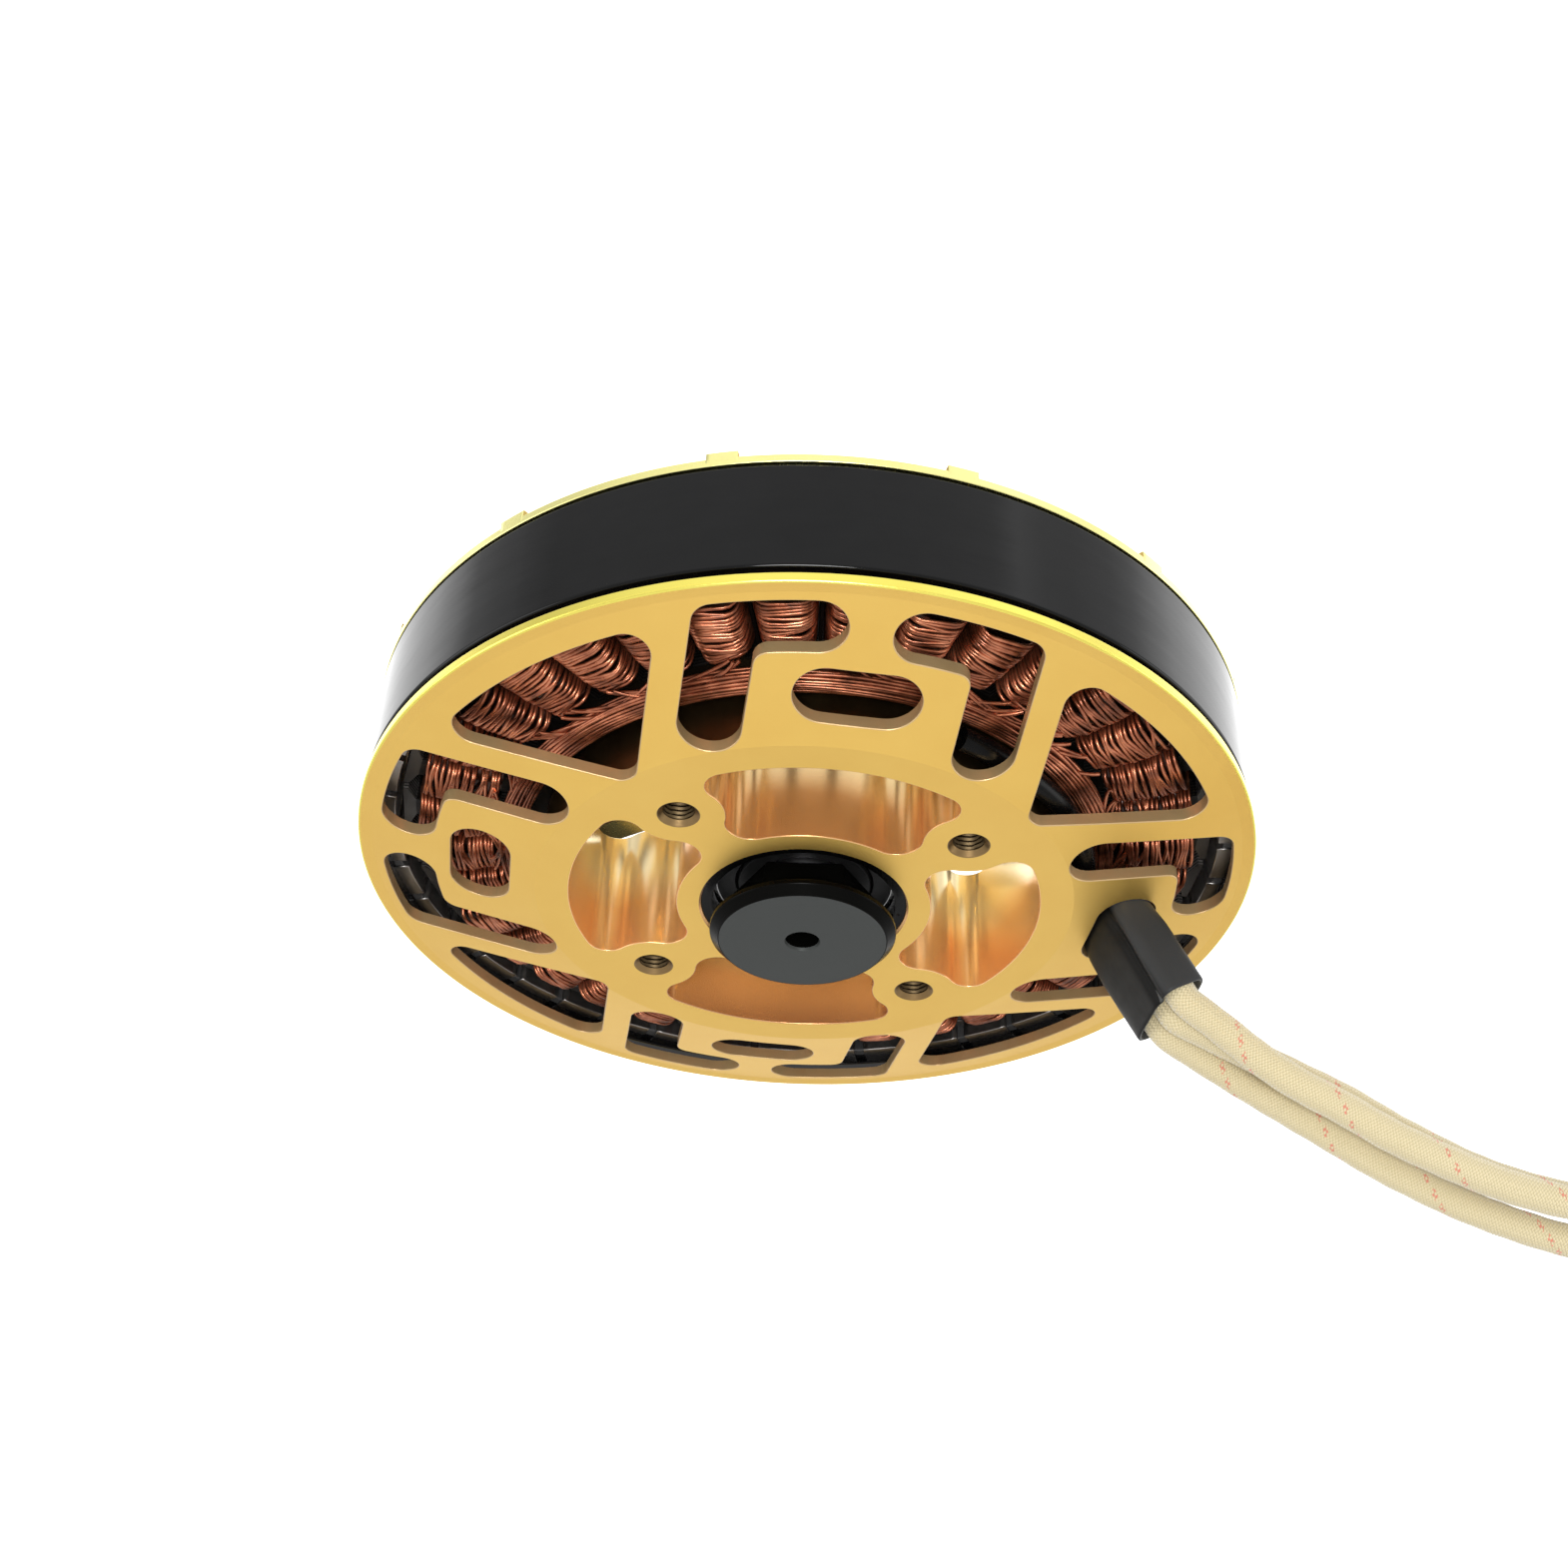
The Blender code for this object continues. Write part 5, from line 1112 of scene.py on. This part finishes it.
def turned_parts():
    """The rings and the shaft that are turned about the axis: dust ring, bearings and shaft."""
    dust = lathe([(8.9, 0.42, 0.15), (9.2, 0.42, 0), (9.97, 0.3, 0.05), (9.97, 2.1, 0.1), (9.5, 2.1, 0),
                  (9.5, 2.3, 0), (8.9, 2.3, 0.1)], 160, closed=True)
    make_piece("dust_seal", [dust], [SEAL], "stator", ["dust_ring"])
    for name, low in (("lower", 2.6), ("upper", 13.7)):
        high = low + 5.0
        outer = [lathe([(8.5, low + 0.25, 0.1), (8.5, low, 0.1), (9.5, low, 0.3), (9.5, high, 0.3),
                        (8.5, high, 0.1), (8.5, high - 0.25, 0.1)], 160)]
        outer += [lathe(corners, 160, 1) for corners in (
            [(6.8, low + 0.3, 0.15), (8.5, low + 0.25, 0)], [(8.5, high - 0.25, 0), (6.8, high - 0.3, 0.15)],
            [(6.8, high - 0.3, 0), (6.8, low + 0.3, 0)])]
        # The inner race's lower face takes the black shield finish: painted shade.
        inner = [lathe([(6.5, low + 0.5, 0), (6.5, high, 0.12), (5.0, high, 0.2), (5.0, low + 0.02, 0)], 120),
                 lathe([(5.0, low + 0.02, 0), (6.5, low + 0.02, 0.12), (6.5, low + 0.5, 0)], 120, 1)]
        for part, shapes, body, node in (("race", outer, "stator", "outer"), ("core", inner, "rotor", "inner")):
            make_piece(f"bearing_{name}_{part}", shapes, BEARING, body, [f"bearing_{name}_{node}"])
    axle = lathe([(1.75, -0.9, 0.1), (4.7, -0.9, 0.3), (4.7, 19.0, 0.1), (6.3, 19.0, 0.1), (6.3, 19.6, 0.1),
                  (11.2, 19.6, 0.2), (11.2, 21.3, 0.2), (4.7, 21.3, 0.2), (4.7, 22.7, 0.4), (1.75, 22.7, 0.2)],
                 160, closed=True)
    make_piece("hollow_shaft", [axle], [SHAFT_STEEL], "rotor", ["shaft"])


def cap_screw_heads():
    """Four countersunk screws, each a turned head with a hexagon socket."""
    for number, angle in enumerate(QUARTERS, 1):
        socket = joined(*[array([polar(0.87, 60 * side + 10 * number)]) for side in range(6)])
        shapes = sheet(circle(1.95, 0.2), [socket], level(22.9), 1, spacing=0.5)
        shapes += [band(socket, True, level(22.0), level(22.9), 0, 0.04, 0), end_disc(lifted(socket, 22.0), UP),
                   lathe([(1.05, 20.3, 0.1), (1.05, 21.85, 0.1), (2.1, 22.75, 0.1), (1.95, 22.9, 0)], 40),
                   end_disc(lifted(circle(1.05, 0.2), 20.35), DOWN)]
        parts = [moved(part, polar(CAP_SCREW_CIRCLE, 45 + angle)) for part in shapes]
        make_piece(f"socket_screw_{number}", parts, [SCREW_STEEL], "rotor", [f"cap_screw_{number}"])


def sleeve():
    """The flat sleeve: a superellipse |y / W| ** p + |t / T| ** p = 1 carried along its line.

    The power p grows from an oval's in the slot to a box's at the open end. A valley runs down the near corner,
    where the film sinks between two leads, and low wrinkles run round it.
    """
    start, bend, end = SLEEVE_START, SLEEVE_BEND, SLEEVE_END
    along = unit(end - bend)
    line = smooth_route([start, start + (bend - start) * 0.5, bend + (0.15, 0, -0.3), (bend + end) / 2, end], 0.25)
    share = np.linspace(0, 1, len(line))
    tangent = unit(np.gradient(line, axis=0))
    out = np.cross(tangent, array([0.0, 1.0, 0.0]))
    half_width = np.interp(share, [0, 0.22, 0.38, 1], [5.3, 5.5, 5.4, 5.25])
    half_thick = np.interp(share, [0, 0.22, 0.38, 1], [2.5, 2.8, 2.62, 2.58])
    power = np.interp(share, [0, 0.25, 0.5, 1], [2.5, 2.7, 4.2, 4.6])
    corner = np.radians(np.interp(share, [0.2, 1], [232, 249]))
    angle = full_turn(144)

    def section(index, shrink=0.0, back=0.0):
        from_corner = np.abs((angle - corner[index] + pi) % tau - pi)
        valley = 0.17 * np.exp(-(from_corner / 0.15) ** 2) * min(1.0, share[index] * 2.5) * (shrink < 0.3)
        wrinkle = 0.03 * np.sin(angle * 4 + share[index] * 9) * sin(pi * share[index]) ** 2
        t = boxed(np.sin(angle), power[index])
        thick = (half_thick[index] - shrink) * t * (1 - valley) + wrinkle * np.abs(t)
        wide = (half_width[index] - shrink) * boxed(np.cos(angle), power[index]) * (1 - 0.35 * valley)
        return (line[index] - along * back) + stack([0 * wide, wide, 0 * wide], -1) + out[index] * thick[:, None]

    last = len(line) - 1
    grid = stack([section(index) for index in range(last)]
                 + [section(last, 0.02), section(last, 0.12) + along * 0.06, section(last, 0.24) + along * 0.06,
                    section(last, 0.34), section(last, 0.4, 0.6), section(last, 0.45, 1.9)])
    film = skin(grid, unit(np.cross(np.roll(grid, -1, 1) - np.roll(grid, 1, 1), np.gradient(grid, axis=0))))
    outside = np.arange(len(film["faces"])) < (last + 1) * len(angle)
    # The inturned rim takes the lighter film, painted light, and the sunken end disc the near-black film, painted
    # shadow.
    shapes = [portion(film, outside, 0), portion(film, ~outside, 2), end_disc(grid[0], -tangent[0]),
              end_disc(grid[-1], along, 1)]
    make_piece("shrink_sleeve", shapes, FILM, "stator", ["lead_sleeve"])


def lead_line(name):
    """A lead's middle line: from inside the sleeve, straight out, then along its own route, softly rounded."""
    direction = unit(SLEEVE_END - SLEEVE_BEND)
    mouth = SLEEVE_END + (0.0, {"lead_1": -LEAD_PITCH, "lead_2": LEAD_PITCH, "lead_3": 0.0}[name], 0.0)
    rough = join([[mouth - direction * LEAD_ROOT_DEPTH],
                  smooth_route([mouth + direction * LEAD_STRAIGHT] + LEAD_ROUTES[name], 1.2)])
    length = travelled(rough)
    where = np.linspace(0, length[-1], round(length[-1] / 0.3) + 1)
    line = sampled(rough, length, where)
    kernel = np.hanning(9) / np.hanning(9).sum()
    padded = join([np.repeat(line[:1], 4, 0), line, np.repeat(line[-1:], 4, 0)])
    soft = stack([np.convolve(column, kernel, "valid") for column in padded.T], -1)
    index = np.arange(len(line))[:, None]
    return where, np.where((index > 6) & (index < len(line) - 6), soft, line)


def lead(name):
    """A lead: a woven tube along its line with u along and v around it, and a twist of bare strands at its end.

    The tube's radius wavers a little along and round it, and closes in at the cut end.
    """
    where, line = lead_line(name)
    sides = 32
    tangent = unit(np.gradient(line, axis=0))
    normal = unit(np.cross(tangent, array([0.0, 1.0, 0.0])))
    ring = hoops(tangent, normal, sides)
    wobble = (0.02 * np.sin(where * 1.9 + len(name))[:, None]
              + 0.02 * np.sin(where * 0.7)[:, None] * np.cos(full_turn(sides))[None])
    end_fade = np.minimum(1, (where[-1] - where) / 0.4)[:, None] ** 0.5
    reach = (LEAD_DIAMETER / 2 - 0.02 + wobble - 0.02) * (0.72 + 0.28 * end_fade)
    grid, ring = (join([part, part[:, :1]], 1) for part in (line[:, None] + ring * reach[:, :, None], ring))
    u, v = np.broadcast_arrays((where / LEAD_DIAMETER)[:, None], np.arange(sides + 1) / sides)
    shapes, uv = [skin(grid, ring, close_columns=False)], [stack([u, v], -1).reshape(-1, 2)]
    for index, direction in ((0, -tangent[0]), (-1, tangent[-1])):
        shapes.append(end_disc(grid[index][:-1], direction))
        uv.append(np.tile([u[index, 0], 0.5], (sides + 1, 1)))
    piece = make_piece(f"woven_{name}", shapes, [WOVEN], "stator", [name], join(uv))
    tail, normal = tangent[-1], normal[-1]
    reach = np.linspace(0, LEAD_BARE_LENGTH, 26)
    strands = []
    for layer, number in enumerate((1, 6, 12)):
        for index in range(number):
            turn = tau * index / number + reach * 0.5 / max(layer, 1) ** 0.3
            away = 0.42 * layer * (1 + 0.05 * np.sin(reach * 2 + index))
            path = (line[-1] - tail * 0.3 + tail * reach[:, None] + normal * (away * np.cos(turn))[:, None]
                    + np.cross(tail, normal) * (away * np.sin(turn))[:, None])
            strands += tube(path, 0.2, 6, normal)
    bare = make_piece(f"strands_{name}", strands, [TINNED], "stator")
    path = line * MM
    total = float(norm(np.diff(path, axis=0), axis=1).sum())


def inner_leads():
    """Insulated tails of the winding: plain tubes on an arc that lies on the plate."""
    for name, start, end in (("inner_lead_1", -68, -16), ("inner_lead_2", 19, 46)):
        angle = np.radians(np.linspace(start, end, 60))
        path = cylinder(27.3 + 0.12 * np.sin(angle * 9), angle, 3.13 + 0.1 * np.sin(angle * 7))
        make_piece(f"black_{name}", tube(path, 1.08, 20, UP), [TAIL], "stator", [name])


def stage():
    """A pale floor far below and a white room, brighter overhead and behind, with soft lamps around."""
    floor = bpy.data.meshes.new("floor")
    corners = array([(x, y, FLOOR_Z) for x, y in FLOOR_HALF * array([(-1, -1), (1, -1), (1, 1), (-1, 1)])])
    floor.from_pydata((corners * MM).tolist(), [], [(0, 1, 2, 3)])
    floor.materials.append(Finish("pale_floor", (0.56, 0.56, 0.56), 0.9).material)
    piece = bpy.data.objects.new("floor", floor)
    bpy.context.collection.objects.link(piece)
    bpy.context.scene.view_settings.view_transform = "Standard"
    world = bpy.data.worlds.new("white_room")
    bpy.context.scene.world = world
    world.use_nodes = True
    room = Nodes(world.node_tree, "Generated")
    background = room.tree.nodes["Background"]
    background.inputs["Color"].default_value = (1.0, 1.0, 1.0, 1.0)
    x, y, height = room.add("SeparateXYZ", {0: room.place})
    turn = room.sum(room.math("DIVIDE", room.math("ARCTAN2", y, x), tau), 0.5)
    stops = [(angle / 360 + 0.5, (strength / ROOM_MOST,) * 3) for angle, strength in ROOM_BANDS]
    bands = room.times(room.ramp(turn, *stops), ROOM_MOST)
    low, high = (room.share(height, *ends, interpolation_type="SMOOTHSTEP") for ends in ((-0.05, 0.3), (0.75, 1.0)))
    share = room.math("SUBTRACT", low, high)
    plain = room.times(room.math("SUBTRACT", 1.0, share), ROOM_LEVEL)
    room.tree.links.new(room.sum(room.times(bands, share), plain), background.inputs["Strength"])
    for name, place, size, power in (("front_light", (-60, -360, -240), 150, 1.3),
                                     ("left_light", (-420, -60, -60), 300, 0.4),
                                     ("right_light", (420, -60, -60), 300, 0.4),
                                     ("top_light", (0, 60, 420), 300, 0.5)):
        light = bpy.data.lights.new(name, "AREA")
        light.shape, light.size, light.energy = "DISK", size * MM, power
        lamp = bpy.data.objects.new(name, light)
        lamp.location = Vector(place) * MM
        lamp.rotation_euler = (Vector((0, 0, 5)) - Vector(place)).to_track_quat("-Z", "Y").to_euler()
        bpy.context.collection.objects.link(lamp)


add_camera()
for lead_name in LEAD_ROUTES:
    lead(lead_name)
sleeve()
base_plate()
for coil_number in range(1, TOOTH_COUNT + 1):
    winding(coil_number)
link_wires()
coil_gap_shade_sheets()
inner_leads()
cap()
magnet_ring()
end_cap()
turned_parts()
cap_screw_heads()
laminate = laminated()
for material_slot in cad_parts["stator_core"].material_slots:
    material_slot.material = laminate
stage()
